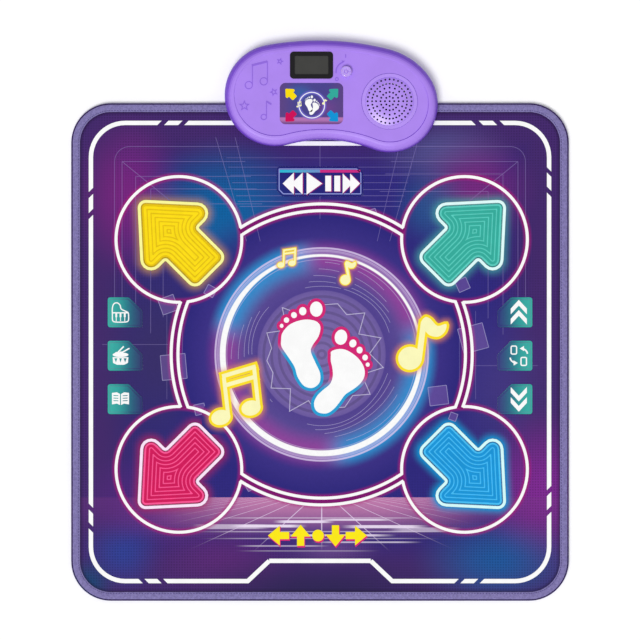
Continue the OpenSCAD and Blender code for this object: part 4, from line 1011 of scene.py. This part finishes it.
class DANCE_OT_notes(bpy.types.Operator):
    """Prints the music notes with their glow"""
    bl_idname = "dance.notes"
    bl_label = "Music notes"

    def execute(self, context):
        colours = settings("dance_colours")
        cream, yellow = ink("cream ink", colours.cream), ink("yellow ink", colours.yellow)
        glow = glow_ink("note glow ink", (232, 140, 84), 0.6)
        for name, (drawing, rim_w, scale, turn) in NOTES.items():
            at = point_mm(name)
            rim = moved(drawing(rim_w), at, scale, turn)
            print_layer(name + "_rim", rim, yellow, 5)
            print_layer(name, moved(drawing(), at, scale, turn), cream, 6)
            glow_layer(name + "_glow", rim, 9.0 * scale + 2, 3.2 * scale + 0.6, glow, 2.8)
            SHOWN[name] = (name + "_rim", None)
        return {"FINISHED"}


# ---------------------------------------------------------------- pieces: the pads
# Each arrow's pad, rim, glow, lines between the ridges, dark line inside the rim, and the glow's strength
ARROWS = {"yellow": ((255, 224, 4), (255, 253, 158), (206, 152, 84), (232, 198, 0), (190, 154, 12), 0.5),
          "green": ((50, 172, 156), (226, 255, 254), (70, 158, 166), (92, 208, 194), (44, 122, 124), 0.6),
          "red": ((208, 8, 88), (255, 232, 253), (170, 34, 96), (252, 86, 152), (140, 14, 74), 0.6),
          "blue": ((10, 148, 216), (216, 255, 255), (0, 142, 206), (70, 194, 246), (14, 96, 150), 1.0)}
# Widths on an arrow pad from its edge: the pale rim, the end of the raised rim, and the end of the dark line
RIM_PALE = 4.7
RIM_END = 5.8
DARK_END = 6.7
STEP_CLEAR = 0.1        # how far the dark lines keep off the step at the end of the raised rim
GLOW_CLEAR = 0.4        # how far the printed glow keeps off the pad
PAD_GLOSS = 0.1


class DANCE_OT_arrows(bpy.types.Operator):
    """Finishes the four arrow pads and prints their glow"""
    bl_idname = "dance.arrows"
    bl_label = "Arrow pads"

    def execute(self, context):
        reach = settings("dance_print").glow / MM
        for name, (base, rim, glow, line, dark, strength) in ARROWS.items():
            node = "arrow_pad_" + name
            levels = {round(v.co.z, 5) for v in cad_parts[node].data.vertices}
            low, ridge_top, rim_top = sorted(levels)[-3:]

            def colour(n):
                height = n.split(n.here())[2]
                ridge = n.above(height, (low + ridge_top) / 2)
                edge = n.above(height, (ridge_top + rim_top) / 2)
                return n.mix(edge, n.mix(ridge, line, base), rim)
            dress(node, surface(f"{name} pad ink", colour, (0.03, 90.0), 1500.0, 0.14, "PEBBLE", (0.42, 0.52),
                                0.00006, Specular_IOR_Level=PAD_GLOSS))
            loop = bottom_loop(node)
            dark_ink = ink(f"{name} line ink", dark)
            for part, near, far, height in (("rim", RIM_PALE, RIM_END - STEP_CLEAR, rim_top),
                                            ("inset", RIM_END + STEP_CLEAR, DARK_END, low)):
                print_layer(f"arrow_{part}_line_{name}", [outset(loop, -near)], dark_ink, 1,
                            [outset(loop, -far)], "arrow_" + name, base=height)
            hole = outset(loop, GLOW_CLEAR)
            light = glow_ink(f"{name} glow ink", glow, strength)
            glow_layer(f"arrow_glow_{name}", [hole], reach, 5.0, light, 1, hole)
        return {"FINISHED"}


KEY_TOP = SHEET_Z + 0.0004      # the height of the side pads and the start pad
KEY_EDGE = 2.9                  # from a pad's edge to the line printed round it
KEY_LINE, START_LINE = 0.7, 1.5     # widths of that line on a side pad and on the start pad


def piano():
    """A grand piano from above: an outline with keys."""
    case = anticlockwise(smooth_loop([
        (-11, -11), (-11.4, -4), (-11.4, 6), (-9, 12), (-4, 13.2), (0, 10), (1.5, 5), (6, 2.6), (10.6, 0),
        (11.4, -5), (11, -11), (7, -13.4), (-7, -13.4)]))
    keys = [bar([(x, low), (x, -1.4)], width)
            for low, width in ((-11.6, 1.1), (-6.4, 2.4)) for x in (-5.6, 0, 5.6)]
    return [case], [outset(case, -1.5)], [*keys, bar([(-10, -0.6), (10.4, -0.6)], 1.6)]


def drum():
    """A side drum with two sticks."""
    shapes = [[(-11, -2), (-10.4, -10), (-5, -12.6), (5, -12.6), (10.4, -10), (11, -2)],
              oval(0, 1.4, 11, 3.2), bar([(-4, 4.4), (4.5, 13)], 1.9), oval(-5.4, 3, 2.6, 2.2),
              bar([(2, 4.6), (12.5, 10.4)], 1.9), oval(0.6, 3.8, 2.6, 2.2)]
    lacing = [[(-8.6, -3.6), (-4.4, -3.6), (-6.4, -9.6)], [(-1.8, -3.6), (1.8, -3.6), (0, -9.6)],
              [(4.4, -3.6), (8.6, -3.6), (6.4, -9.6)]]
    return shapes, lacing, []


def book():
    """An open book."""
    left = [(-0.7, -8.2), (-0.7, 7.2), (-5, 9.6), (-12, 8.8), (-12, -7.4), (-5, -6.2)]
    lines = [[(s * 3.0, y + 1.2), (s * 10.0, y + 1.6), (s * 10.0, y + 0.3), (s * 3.0, y)]
             for s in (-1, 1) for y in (4.2, 0.6, -3.0)]
    return [left, [(-x, y) for x, y in left]], lines, []


def chevrons(way):
    """Two chevrons, one over the other."""
    arrow = [(-12, -2), (0, 11), (12, -2), (12, -10.5), (0, 2.5), (-12, -10.5)]
    return [[(x, way * (y + s)) for x, y in arrow] for s in (7.6, -7.6)], [], []


def swap():
    """Two round-cornered blocks that change places."""
    path = [(2.0 + 9.6 * math.sin(t), 2.0 + 8.0 * math.cos(t)) for t in np.linspace(0.35, 1.5, 8)]
    x, y = path[0]
    shapes, cuts = [], []
    for side, turn in ((1, 0), (-1, 180)):
        box = rounded_box(9, 12.4, 2.6, side * -6.6, side * 7.6)
        shapes += [box, turned(bar(path, 2.0), turn)]
        shapes += [turned([(x + 1.6, y + 3.6), (x + 1.8, y - 3.4), (x - 4.0, y + 0.2)], turn)]
        cuts.append(outset(box, -1.7))
    return shapes, cuts, []


# Each side pad's sign, its scale, and the side that it is on
SIDE_SIGNS = {"piano": (piano(), 1.22, "left"), "drum": (drum(), 1.15, "left"),
              "book": (book(), 1.14, "left"), "up": (chevrons(1), 1.08, "right"),
              "swap": (swap(), 1.2, "right"), "down": (chevrons(-1), 1.08, "right")}


class DANCE_OT_side_pads(bpy.types.Operator):
    """Prints the six side pads and their signs"""
    bl_idname = "dance.side_pads"
    bl_label = "Side pads"

    def execute(self, context):
        colours = settings("dance_colours")

        def recolour(n, ground):
            across = n.size(n.split(n.place())[0])
            teal = n.mix(n.fade(across, 296.0, 340.0), (34, 124, 140), colours.teal)
            return n.mix(n.fade(across, 277.0, 324.0, 0.02, 1.0), ground, teal)

        def paler(n, ground):
            across = n.size(n.split(n.place())[0])
            return n.mix(n.fade(across, 296.0, 338.0, 0.0, 0.4), ground, (130, 214, 204))
        teal, rim = sheet_finish("teal pad ink", recolour), sheet_finish("pad edge ink", paler)
        sign = ink("sign ink", colours.white)
        column = {"left": point_mm("left_icon", "piano_pad")[0], "right": point_mm("right_icon", "up_pad")[0]}
        for name, ((shapes, cuts, keys), scale, side) in SIDE_SIGNS.items():
            def put(part, loops, material, holes=(), base=KEY_TOP):
                print_layer(name + part, loops, material, 1, holes, name + "_key", "teal_print", base)
            dress(name + "_pad", teal)
            loop = bottom_loop(name + "_pad")
            edge = outset(loop, -KEY_EDGE)
            put("_pad_edge", [edge], rim, [outset(edge, -KEY_LINE)])
            _, _, y0, y1 = span(loop)
            at = (column[side], (y0 + y1) / 2)
            if keys:
                put("_sign_keys", moved(keys, at, scale), sign, base=KEY_TOP + 0.00001)
            put("_sign", moved(shapes, at, scale), sign, moved(cuts, at, scale))
        SHOWN["left_icon"], SHOWN["right_icon"] = ("piano_sign", None), ("up_sign", None)
        return {"FINISHED"}


def player_signs(grow=0.0):
    """Signs of a music player in a row: rewind, play, pause and forward."""
    def wedge(x, way, w=13.0, h=13.0):
        tip, tail = x + way * w / 2, x - way * w / 2
        return outset(anticlockwise([(tail, -h), (tail, h), (tip, 0)]), 2.2 + grow)
    pause = [bar([(x, -12.5), (x, 12.5)], 9.4, grow) for x in (13.5, 28)]
    return [wedge(-50, -1), wedge(-36, -1), wedge(-9.5, 1, 19.0, 13.6), *pause, wedge(44, 1, 11, 11.5),
            wedge(56, 1, 11, 11.5)]


def step_signs(grow=0.0):
    """Step directions in a row: left, rear, both feet, front and right."""
    head = [(-15, -4.2), (0, -4.2), (0, -12.5), (15, 0), (0, 12.5), (0, 4.2), (-15, 4.2)]
    arrows = [outset(turned(head, turn, (x, 0)), 1.6 + grow)
              for x, turn in ((-62, 180), (-27, 90), (29, 270), (62, 0))]
    return [*arrows, oval(1, 0, 9.4, 9.4, 0, grow)]


class DANCE_OT_start(bpy.types.Operator):
    """Prints the start pad, and the row of step signs at the front"""
    bl_idname = "dance.start"
    bl_label = "Start pad and step signs"

    def execute(self, context):
        def put(part, shapes, material, cuts=(), level=1):
            print_layer("start_" + part, shapes, material, level, cuts, "start_key", base=KEY_TOP)
        dress("start_pad", over_print("start pad ink", (30, 28, 116), 0.7))
        edge = outset(bottom_loop("start_pad"), -KEY_EDGE)
        put("edge", [edge], ink("lavender ink", (150, 160, 226)), [outset(edge, -START_LINE)])
        x0, x1, _, y1 = span(edge)
        middle = (x0 + x1) / 2

        def recolour(n, ground):
            x = n.split(n.place())[0]
            left = n.mix(n.fade(x, x0, middle, 0.0, 0.75), (44, 190, 214), (120, 130, 200))
            return n.mix(n.above(x, middle), left, (206, 44, 130))
        put("strip", [rounded_box(x1 - x0 - 3.4, 4.4, 0.3, middle, y1 - 4.3, 2)],
            sheet_finish("start strip ink", recolour))
        x, y = point_mm("start_sign", "start_pad")
        shadow = ink("magenta shadow ink", (150, 30, 120))
        white = ink("start sign ink", settings("dance_colours").white)
        put("sign_shadow", moved(player_signs(0.8), (x + 1.0, y - 0.3)), shadow)
        put("sign", moved(player_signs(), (x, y)), white, level=2)
        x, y = point_mm("row_sign")
        print_layer("row_sign_shadow", moved(step_signs(0.4), (x + 1.0, y - 2.2)),
                    ink("pink shadow ink", (222, 40, 120)), 5)
        print_layer("row_sign", moved(step_signs(), (x, y)), ink("row sign ink", (255, 236, 20)), 6)
        SHOWN["start_sign"], SHOWN["row_sign"] = ("start_sign", None), ("row_sign", None)
        return {"FINISHED"}


# ---------------------------------------------------------------- pieces: binding
# Width of the folded tape, its outer radius at the mat's corners, and the tape's thickness
BIND_W = 0.0145
BIND_R = 0.064
TAPE_T = 0.0006
CHANNEL = 0.0006        # half of the width of the channel that the seam pulls into the tape
SHEET_GAP = 0.00001     # from the tape to the sheet under it
SEAM_DEEP = 0.00024     # how far the middle of a stitch lies under the tape's top
STITCH_SHARE = 0.31     # half of a stitch's length, as a share of the pitch
TAPE_STEP = 0.006       # spacing of the tape's cross-sections along the edge


def edge_path(corner, spacing, inset=0.0):
    """Places round the mat's edge with their inward directions, in metres."""
    half = (MAT_HIGH.x - MAT_LOW.x) / 2
    side = 2 * (half - corner)
    total = 4 * side + 2 * math.pi * corner
    count = int(total / spacing)
    out = []
    for i in range(count):
        turn, s = divmod(total * i / count, side + math.pi * corner / 2)
        if s < side:
            p, inward = (-half + corner + s, -half), (0.0, 1.0)
        else:
            a = -math.pi / 2 + (s - side) / corner
            inward = (-math.cos(a), -math.sin(a))
            p = (half - corner - inward[0] * corner, -half + corner - inward[1] * corner)
        for _ in range(int(turn)):
            p, inward = (-p[1], p[0]), (-inward[1], inward[0])
        out.append(((MAT_C.x + p[0] + inward[0] * inset, MAT_C.y + p[1] + inward[1] * inset), inward))
    return out

def tape_colour(n):
    """The tape, darker towards its outer fold and in the gaps of its weave."""
    here = n.here()
    rib = n.add("ShaderNodeTexVoronoi", here, None, 700.0)
    colour = n.mix(n.fade(rib, 0.3, 0.75, 0.0, 0.35), settings("dance_colours").tape, (92, 78, 150))
    height = n.split(here)[2]
    return n.mix(n.fade(height, MAT_HIGH.z - 0.0004, MAT_HIGH.z - 0.003, 0.0, 0.1), colour, (92, 80, 150))


class DANCE_OT_binding(bpy.types.Operator):
    """Folds the woven tape round the mat and sews it down"""
    bl_idname = "dance.binding"
    bl_label = "Edge binding"

    def execute(self, context):
        sizes = settings("dance_binding")
        top, sheet, r, w = MAT_HIGH.z, SHEET_Z, sizes.roll, BIND_W
        seam = w - sizes.stitch_in
        # The tape's profile by the distance inwards and the height
        profile = [(w, 0.0), (r, 0.0), *((r - r * math.sin(a), r - r * math.cos(a))
                                         for a in np.linspace(0.1, math.pi / 2, 8))]
        profile += [(r - r * math.cos(a), top - r + (r - sizes.crown) * math.sin(a))
                    for a in np.linspace(0.0, math.pi / 2, 8)]
        profile += [(0.3 * w, top - sizes.crown * 0.35), (0.45 * w, top), (0.65 * w, top - 0.0001),
                    (seam - CHANNEL, top - 0.00012), (seam, top - 0.00026), (seam + CHANNEL, top - 0.0001),
                    (w - 0.0003, top - 0.00016), (w, sheet + 0.0001), (w, sheet + SHEET_GAP),
                    (0.0042, sheet + SHEET_GAP), (0.0022, sheet - 0.0008), (0.0019, TAPE_T + 0.001),
                    (0.0042, TAPE_T), (w, TAPE_T)]
        path = edge_path(BIND_R, TAPE_STEP)
        verts = [(x + inward[0] * d, y + inward[1] * d, z) for (x, y), inward in path for d, z in profile]
        faces, m = [], len(profile)
        for i in range(len(path)):
            j = (i + 1) % len(path)
            faces += [[i * m + k, j * m + k, j * m + (k + 1) % m, i * m + (k + 1) % m] for k in range(m)]
        tape = surface("woven tape", tape_colour, (0.14, 230.0), 900.0, 0.35, "WEAVE", (0.7, 0.85), 0.00015,
                       Sheen_Weight=0.15, Sheen_Roughness=0.5, Specular_IOR_Level=0.2)
        piece = add_piece("folded_tape", verts, faces, tape, "binding_tape", smooth=True)
        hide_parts("edge_binding")
        # Stitches: short raised threads in the seam's channel, each of five rings of six places
        verts, faces = [], []
        half, long, z = sizes.thread / 2, sizes.stitch * STITCH_SHARE, top - SEAM_DEEP
        for (x, y), inward in edge_path(BIND_R, sizes.stitch, seam):
            start = len(verts)
            for t, k in ((-1.0, 0.25), (-0.6, 0.85), (0.0, 1.0), (0.6, 0.85), (1.0, 0.25)):
                for a in range(6):
                    c, s = around((0.0, 0.0), half * k, 60 * a)
                    verts.append((x + inward[1] * t * long + inward[0] * c,
                                  y - inward[0] * t * long + inward[1] * c, z + s * 0.8))
            for j in range(start, start + 24, 6):
                faces += [[j + a, j + (a + 1) % 6, j + 6 + (a + 1) % 6, j + 6 + a] for a in range(6)]
            faces += [[start + a for a in reversed(range(6))], [start + 24 + a for a in range(6)]]
        thread = finish("sewing thread", (62, 48, 114), (0.6, 0.75), 3000.0, 0.3, "NOISE", 0.0001, 0.05,
                        Sheen_Weight=0.1)
        add_piece("binding_stitches", verts, faces, thread, "binding_tape", smooth=True)
        return {"FINISHED"}


# ---------------------------------------------------------------- pieces: control box
PAINTED_LIGHT_AIM = (0.1, -0.33, 0.93)      # faces turned this way stay lighter; the rest get painted shade
PANEL_DROP = 0.0008                 # from the shell's highest place to the panel between its raised signs
KNOB_DISH = 0.0006                  # depth of the dish in the knob's top
# The label's ring, its line, and the scales of the drawings round it
LABEL_RING, LABEL_RING_W = 20.5, 1.3
LABEL_FOOT, LABEL_NOTE, LABEL_ARROW = 0.19, 0.1, 0.13


def middle_mm(node):
    """The middle of a CAD node, in millimetres from the middle of the mat."""
    low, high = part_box(node)
    return flat((low + high) / 2)


def plastic(name, colour, **values):
    """Moulded plastic with a fine spark-eroded grain."""
    return surface(name, colour, (0.03, 25.0), 1100.0, 0.06, "NOISE", (0.34, 0.46), 0.00008, **values)


def shell_painted_shade(n):
    """Painted shade on the shell by the way a face is turned: deeper on steep walls and on any that face the
    rear.
    """
    colours = settings("dance_box")
    toward_light = n.vector("DOT_PRODUCT", n.add("ShaderNodeNewGeometry", out=1), PAINTED_LIGHT_AIM, out=1)
    return n.mix(n.fade(toward_light, 0.91, 0.55), colours.shell, colours.shell_deep_and_shade)


def panel_painted_shade(n):
    """The same, with painted shade on the raised signs' tops too, standing in for the shade of their relief."""
    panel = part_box("top_housing")[1].z - PANEL_DROP
    height, up = n.split(n.here())[2], n.split(n.add("ShaderNodeNewGeometry", out=1))[2]
    # Painted shade: tops that face up and lie between the two heights of the raised signs
    raised = n.times(n.above(height, panel + 0.0001), n.below(height, panel + 0.0007), n.above(up, 0.999),
                     0.6)
    return n.mix(raised, shell_painted_shade(n), settings("dance_box").shell_deep_and_shade)


class DANCE_OT_shells(bpy.types.Operator):
    """Finishes the control box's shells and battery door"""
    bl_idname = "dance.shells"
    bl_label = "Box shells"

    def execute(self, context):
        # The shell and the grille carry painted shade by the way each face is turned
        dress("top_housing", plastic("moulded shell", panel_painted_shade, Specular_IOR_Level=0.3))
        under = plastic("moulded under-shell", settings("dance_box").shell_deep_and_shade, Specular_IOR_Level=0.35)
        dress("speaker_grille", plastic("moulded grille", shell_painted_shade, Specular_IOR_Level=0.5,
                                        Coat_Weight=0.7, Coat_Roughness=0.3))
        for node in ("bottom_housing", "battery_door"):
            dress(node, under)
        SHOWN["grille"] = ("speaker_grille", None)
        return {"FINISHED"}


class DANCE_OT_display(bpy.types.Operator):
    """Finishes the display's bezel, its window and the module behind it"""
    bl_idname = "dance.display"
    bl_label = "Display"

    def execute(self, context):
        colours = settings("dance_box")
        dress("display_bezel", finish("gloss black plastic", colours.bezel, (0.3, 0.4), 500.0, 0.03,
                                      Specular_IOR_Level=0.12))
        dress("display_window", finish("smoked window", colours.window, (0.12, 0.2), 200.0, 0.02,
                                       Specular_IOR_Level=0.15))
        dress("display_module", finish("display module", (30, 70, 50), (0.4, 0.6), 600.0, 0.1))
        SHOWN["display"] = ("display_bezel", None)
        return {"FINISHED"}


class DANCE_OT_knob(bpy.types.Operator):
    """Finishes the power knob and its shaft"""
    bl_idname = "dance.knob"
    bl_label = "Power knob"

    def execute(self, context):
        colours = settings("dance_box")
        dress("power_knob", finish("clear lilac plastic", colours.knob, (0.12, 0.2), 300.0, 0.02,
                                   Specular_IOR_Level=0.5, Coat_Weight=0.4, Subsurface_Weight=0.1,
                                   Subsurface_Scale=0.004))
        dress("switch_shaft", finish("nickel", (200, 200, 204), (0.2, 0.35), 800.0, 0.05, Metallic=1.0))
        # The turn mark lies in the knob's dish
        x, y = middle_mm("power_knob")
        mark = [bar(arc(x, y, 2.9, 125, 415, 24), 0.7), bar([(x, y + 1.2), (x, y + 4.0)], 0.7)]
        print_layer("knob_mark", mark, ink("knob mark ink", colours.shell_deep_and_shade), 1, (), "knob",
                    "clear_lilac_plastic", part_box("power_knob")[1].z - KNOB_DISH)
        SHOWN["knob"] = ("power_knob", None)
        return {"FINISHED"}


class DANCE_OT_label(bpy.types.Operator):
    """Prints the label plate with a small plan of the mat"""
    bl_idname = "dance.label"
    bl_label = "Label plate"

    def execute(self, context):
        colours = settings("dance_colours")
        x, y = middle_mm("label_plate")
        x, y = x + 0.5, y - 2.6

        def ground(n):
            v = n.away(n.place(), (x, y))
            across, along, _ = n.split(v)
            colour = n.mix(n.fade(n.size(across), 22.0, 52.0), (50, 40, 130), (74, 40, 120))
            colour = n.spot(colour, v, -20, 20, 30, 18, (20, 84, 160), 0.8)
            colour = n.spot(colour, v, 24, -4, 26, 24, (110, 40, 130), 0.6)
            colour = n.mix(n.fade(along, -18.5, -20.5, 0.0, 0.75), colour, (196, 120, 186))
            colour = n.mix(n.fade(along, -23.0, -30.0, 0.0, 0.9), colour, (92, 40, 120))
            return n.mix(n.fade(n.gap(n.length(v), LABEL_RING), 0.3, 4.5, 0.85, 0.0), colour, (110, 96, 214))
        dress("label_plate", surface("printed label", ground, (0.02, 200.0), 900.0, 0.05, "NOISE", (0.3, 0.4),
                                     0.00005, Specular_IOR_Level=0.4))

        def put(part, shapes, material, level=1, cuts=()):
            print_layer("label_" + part, shapes, material, level, cuts, slot="printed_label",
                        base=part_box("label_plate")[1].z)
        white, cream = ink("label white ink", colours.white), ink("label cream ink", colours.cream)
        outer, inner = (oval(x, y, LABEL_RING, grow=way * LABEL_RING_W / 2, steps=72) for way in (1, -1))
        put("ring", [outer], white, 1, [inner])
        for side, dx, dy in (("left", -2.8, 2.4), ("right", 4.4, -2.6)):
            put("foot_" + side, moved(footprint(side), (x + dx, y + dy), LABEL_FOOT), white)
        for side, drawing, dx, dy in (("left", beamed_note, -LABEL_RING, 1.4),
                                      ("right", note, LABEL_RING, 5.0)):
            put("note_" + side, moved(drawing(1.5), (x + dx, y + dy), LABEL_NOTE), cream, 2)
        for name, sx, sy in (("yellow", -1, 1), ("green", 1, 1), ("red", -1, -1), ("blue", 1, -1)):
            loop = bottom_loop("arrow_pad_" + name)
            ax, ay = (sum(parts) / len(loop) for parts in zip(*loop))
            at = (x + sx * 33.0, y + sy * 17.0)
            small = moved([[(px - ax, py - ay) for px, py in loop]], at, LABEL_ARROW)
            put("arrow_" + name, small, ink(f"label {name} ink", ARROWS[name][0]), 2)
        return {"FINISHED"}


# The inner nodes that share a finish, with its name, colour, gloss, grain and relief
INNER = (
    (["base_sheet"], "non-slip backing", (44, 40, 50), (0.7, 0.85), 500.0, 0.4, "PEBBLE"),
    (["foam_core"], "white foam", (232, 228, 216), (0.8, 0.9), 1200.0, 0.5, "PEBBLE"),
    (["spacer_foam"], "grey spacer foam", (190, 190, 200), (0.8, 0.9), 1500.0, 0.4, "PEBBLE"),
    (["lower_membrane", "upper_membrane"], "printed film", (196, 214, 220), (0.25, 0.35), 400.0, 0.03),
    (["main_board"], "green circuit board", (24, 100, 56), (0.3, 0.45), 700.0, 0.08),
    (["board_components"], "moulded black parts", (34, 34, 36), (0.5, 0.65), 1500.0, 0.15),
    (["rotary_switch"], "switch casing", (40, 44, 52), (0.45, 0.6), 1200.0, 0.12),
    (["tail_connector"], "white nylon", (236, 234, 224), (0.35, 0.5), 800.0, 0.08),
    (["membrane_tail"], "amber film", (216, 150, 60), (0.2, 0.3), 300.0, 0.03),
    (["speaker_cone"], "pulp cone", (34, 32, 34), (0.8, 0.95), 1400.0, 0.4),
    (["batteries"], "cell wrap", (196, 130, 44), (0.25, 0.35), 300.0, 0.04),
    (["speaker_leads", "battery_leads"], "red lead", (176, 30, 34), (0.45, 0.55), 900.0, 0.06),
    (["mat_clamp_plate"], "black clamp plate", (46, 46, 50), (0.5, 0.65), 1000.0, 0.15),
    ([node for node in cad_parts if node.endswith("_patch") or node.startswith("arrow_patch")],
     "carbon patch", (30, 30, 32), (0.6, 0.75), 1500.0, 0.12),
)
STEEL = ("speaker_frame", "battery_contacts", "battery_springs", "battery_door_screw", "housing_screws",
         "board_screws", "clamp_screws")


class DANCE_OT_inner(bpy.types.Operator):
    """Finishes the parts inside the mat and the box, and the underside"""
    bl_idname = "dance.inner"
    bl_label = "Inner parts"

    def execute(self, context):
        for nodes, *look in INNER:
            for node in nodes:
                dress(node, finish(*look))
        for node in STEEL:
            dress(node, finish("bright steel", (190, 190, 194), (0.25, 0.42), 900.0, 0.08, Metallic=1.0))
        return {"FINISHED"}


# ---------------------------------------------------------------- stage
WHITE = (1.0, 1.0, 1.0, 1.0)
FLOOR_HALF = 12.0
FLOOR_DROP = 0.0002         # keeps the floor clear of the flat underside
FLOOR_GLOW = 0.1            # what the floor adds for the camera, so that it shows white
WORLD_LIGHT = 0.42
KEY_LIGHT = 1.87
KEY_SPREAD = 26             # degrees, for soft shadows
KEY_FROM = (-0.55, -1.05, 2.5)


class DANCE_OT_stage(bpy.types.Operator):
    """Sets the floor, the light and the camera"""
    bl_idname = "dance.stage"
    bl_label = "Floor, light and camera"

    def execute(self, context):
        scene = context.scene

        def put(name, data):
            thing = bpy.data.objects.new(name, data)
            scene.collection.objects.link(thing)
            return thing
        # Floor: white to the camera, with the object's own shadow
        mesh = bpy.data.meshes.new("floor")
        s, z = FLOOR_HALF, CAD_BOX[0][2] - FLOOR_DROP
        mesh.from_pydata([(-s, -s, z), (s, -s, z), (s, s, z), (-s, s, z)], [], [[0, 1, 2, 3]])
        floor = put("floor", mesh)
        material, n, shader = new_material("studio floor")
        cloud = n.add("ShaderNodeTexNoise", n.here(), None, 3.0, 2.0)
        tone = n.fade(cloud, 0.3, 0.7, 0.97, 1.0)
        n.set(shader.inputs["Base Color"], n.add("ShaderNodeCombineColor", tone, tone, tone))
        set_shader(shader, Roughness=0.9, Specular_IOR_Level=0.1, Emission_Color=WHITE)
        eye = n.tree.nodes.new("ShaderNodeLightPath").outputs["Is Camera Ray"]
        n.set(shader.inputs["Emission Strength"], n.times(eye, FLOOR_GLOW))
        mesh.materials.append(material)
        # World: white to the camera, to gloss and through what is clear; dimmer as a light
        world = scene.world = bpy.data.worlds.new("studio")
        world.use_nodes = True
        tree = world.node_tree
        tree.nodes.clear()
        n = Nodes(tree)
        rays = tree.nodes.new("ShaderNodeLightPath").outputs
        white = n.most(n.most(rays["Is Camera Ray"], rays["Is Glossy Ray"]), rays["Is Transmission Ray"])
        back = n.add("ShaderNodeBackground", WHITE, n.fade(white, 0.0, 1.0, WORLD_LIGHT, 1.0))
        n.set(tree.nodes.new("ShaderNodeOutputWorld").inputs[0], back)
        sun = bpy.data.lights.new("key light", "SUN")
        sun.energy, sun.angle = KEY_LIGHT, math.radians(KEY_SPREAD)
        lamp = put("key light", sun)
        lamp.location = KEY_FROM
        lamp.rotation_euler = (-Vector(KEY_FROM)).to_track_quat("-Z", "Y").to_euler()
        data = bpy.data.cameras.new("camera")
        data.lens, data.sensor_width, data.sensor_fit = LENS, SENSOR, "AUTO"
        data.shift_x, data.shift_y = SHIFT
        data.clip_start, data.clip_end = 0.1, 60.0
        camera = scene.camera = put("camera", data)
        camera.location = CAMERA_AT
        scene.view_settings.view_transform = "Standard"
        return {"FINISHED"}


# ---------------------------------------------------------------- what each point shows
def seen_span(thing):
    """The span, in the image, of a mesh as it is placed."""
    return span(image_xy(thing.matrix_world @ v.co) for v in thing.data.vertices)


def write_points():
    """Works out the span in the image, in pixels, of each shown piece and of all meshes but the floor; nothing
    is kept.
    """
    bpy.context.view_layer.update()
    for name, (piece, at) in SHOWN.items():
        if at is None:
            x0, x1, y0, y1 = seen_span(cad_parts.get(piece) or bpy.data.objects[piece])
    # Edges by all vertices
    spans = [seen_span(thing) for thing in bpy.context.scene.objects
             if thing.type == "MESH" and thing.name != "floor"]
    left, right, top, bottom = (most(ends) for most, ends in zip((min, max, min, max), zip(*spans)))


OPERATORS = (DANCE_OT_stage, DANCE_OT_sheet, DANCE_OT_guides, DANCE_OT_feet, DANCE_OT_notes, DANCE_OT_arrows,
             DANCE_OT_side_pads, DANCE_OT_start, DANCE_OT_binding, DANCE_OT_shells, DANCE_OT_display,
             DANCE_OT_knob, DANCE_OT_label, DANCE_OT_inner)


class DANCE_PT_panel(bpy.types.Panel):
    """Lists the mat's pieces in the 3D view's sidebar"""
    bl_idname = "DANCE_PT_panel"
    bl_label = "Dance mat"
    bl_space_type = "VIEW_3D"
    bl_region_type = "UI"
    bl_category = "Dance mat"

    def draw(self, context):
        layout = self.layout
        for name, group in GROUPS.items():
            box = layout.box()
            for key in group.__annotations__:
                box.prop(getattr(context.scene, name), key)
        for operator in OPERATORS:
            layout.operator(operator.bl_idname)


CLASSES = (*GROUPS.values(), *OPERATORS, DANCE_PT_panel)


def register():
    for cls in CLASSES:
        bpy.utils.register_class(cls)
    for name, group in GROUPS.items():
        setattr(bpy.types.Scene, name, PointerProperty(type=group))


def unregister():
    for name in GROUPS:
        delattr(bpy.types.Scene, name)
    for cls in reversed(CLASSES):
        bpy.utils.unregister_class(cls)


def main():
    """Makes every piece in order."""
    register()
    for operator in OPERATORS:
        kind, name = operator.bl_idname.split(".")
        getattr(getattr(bpy.ops, kind), name)()
    write_points()


if __name__ == "__main__":
    main()
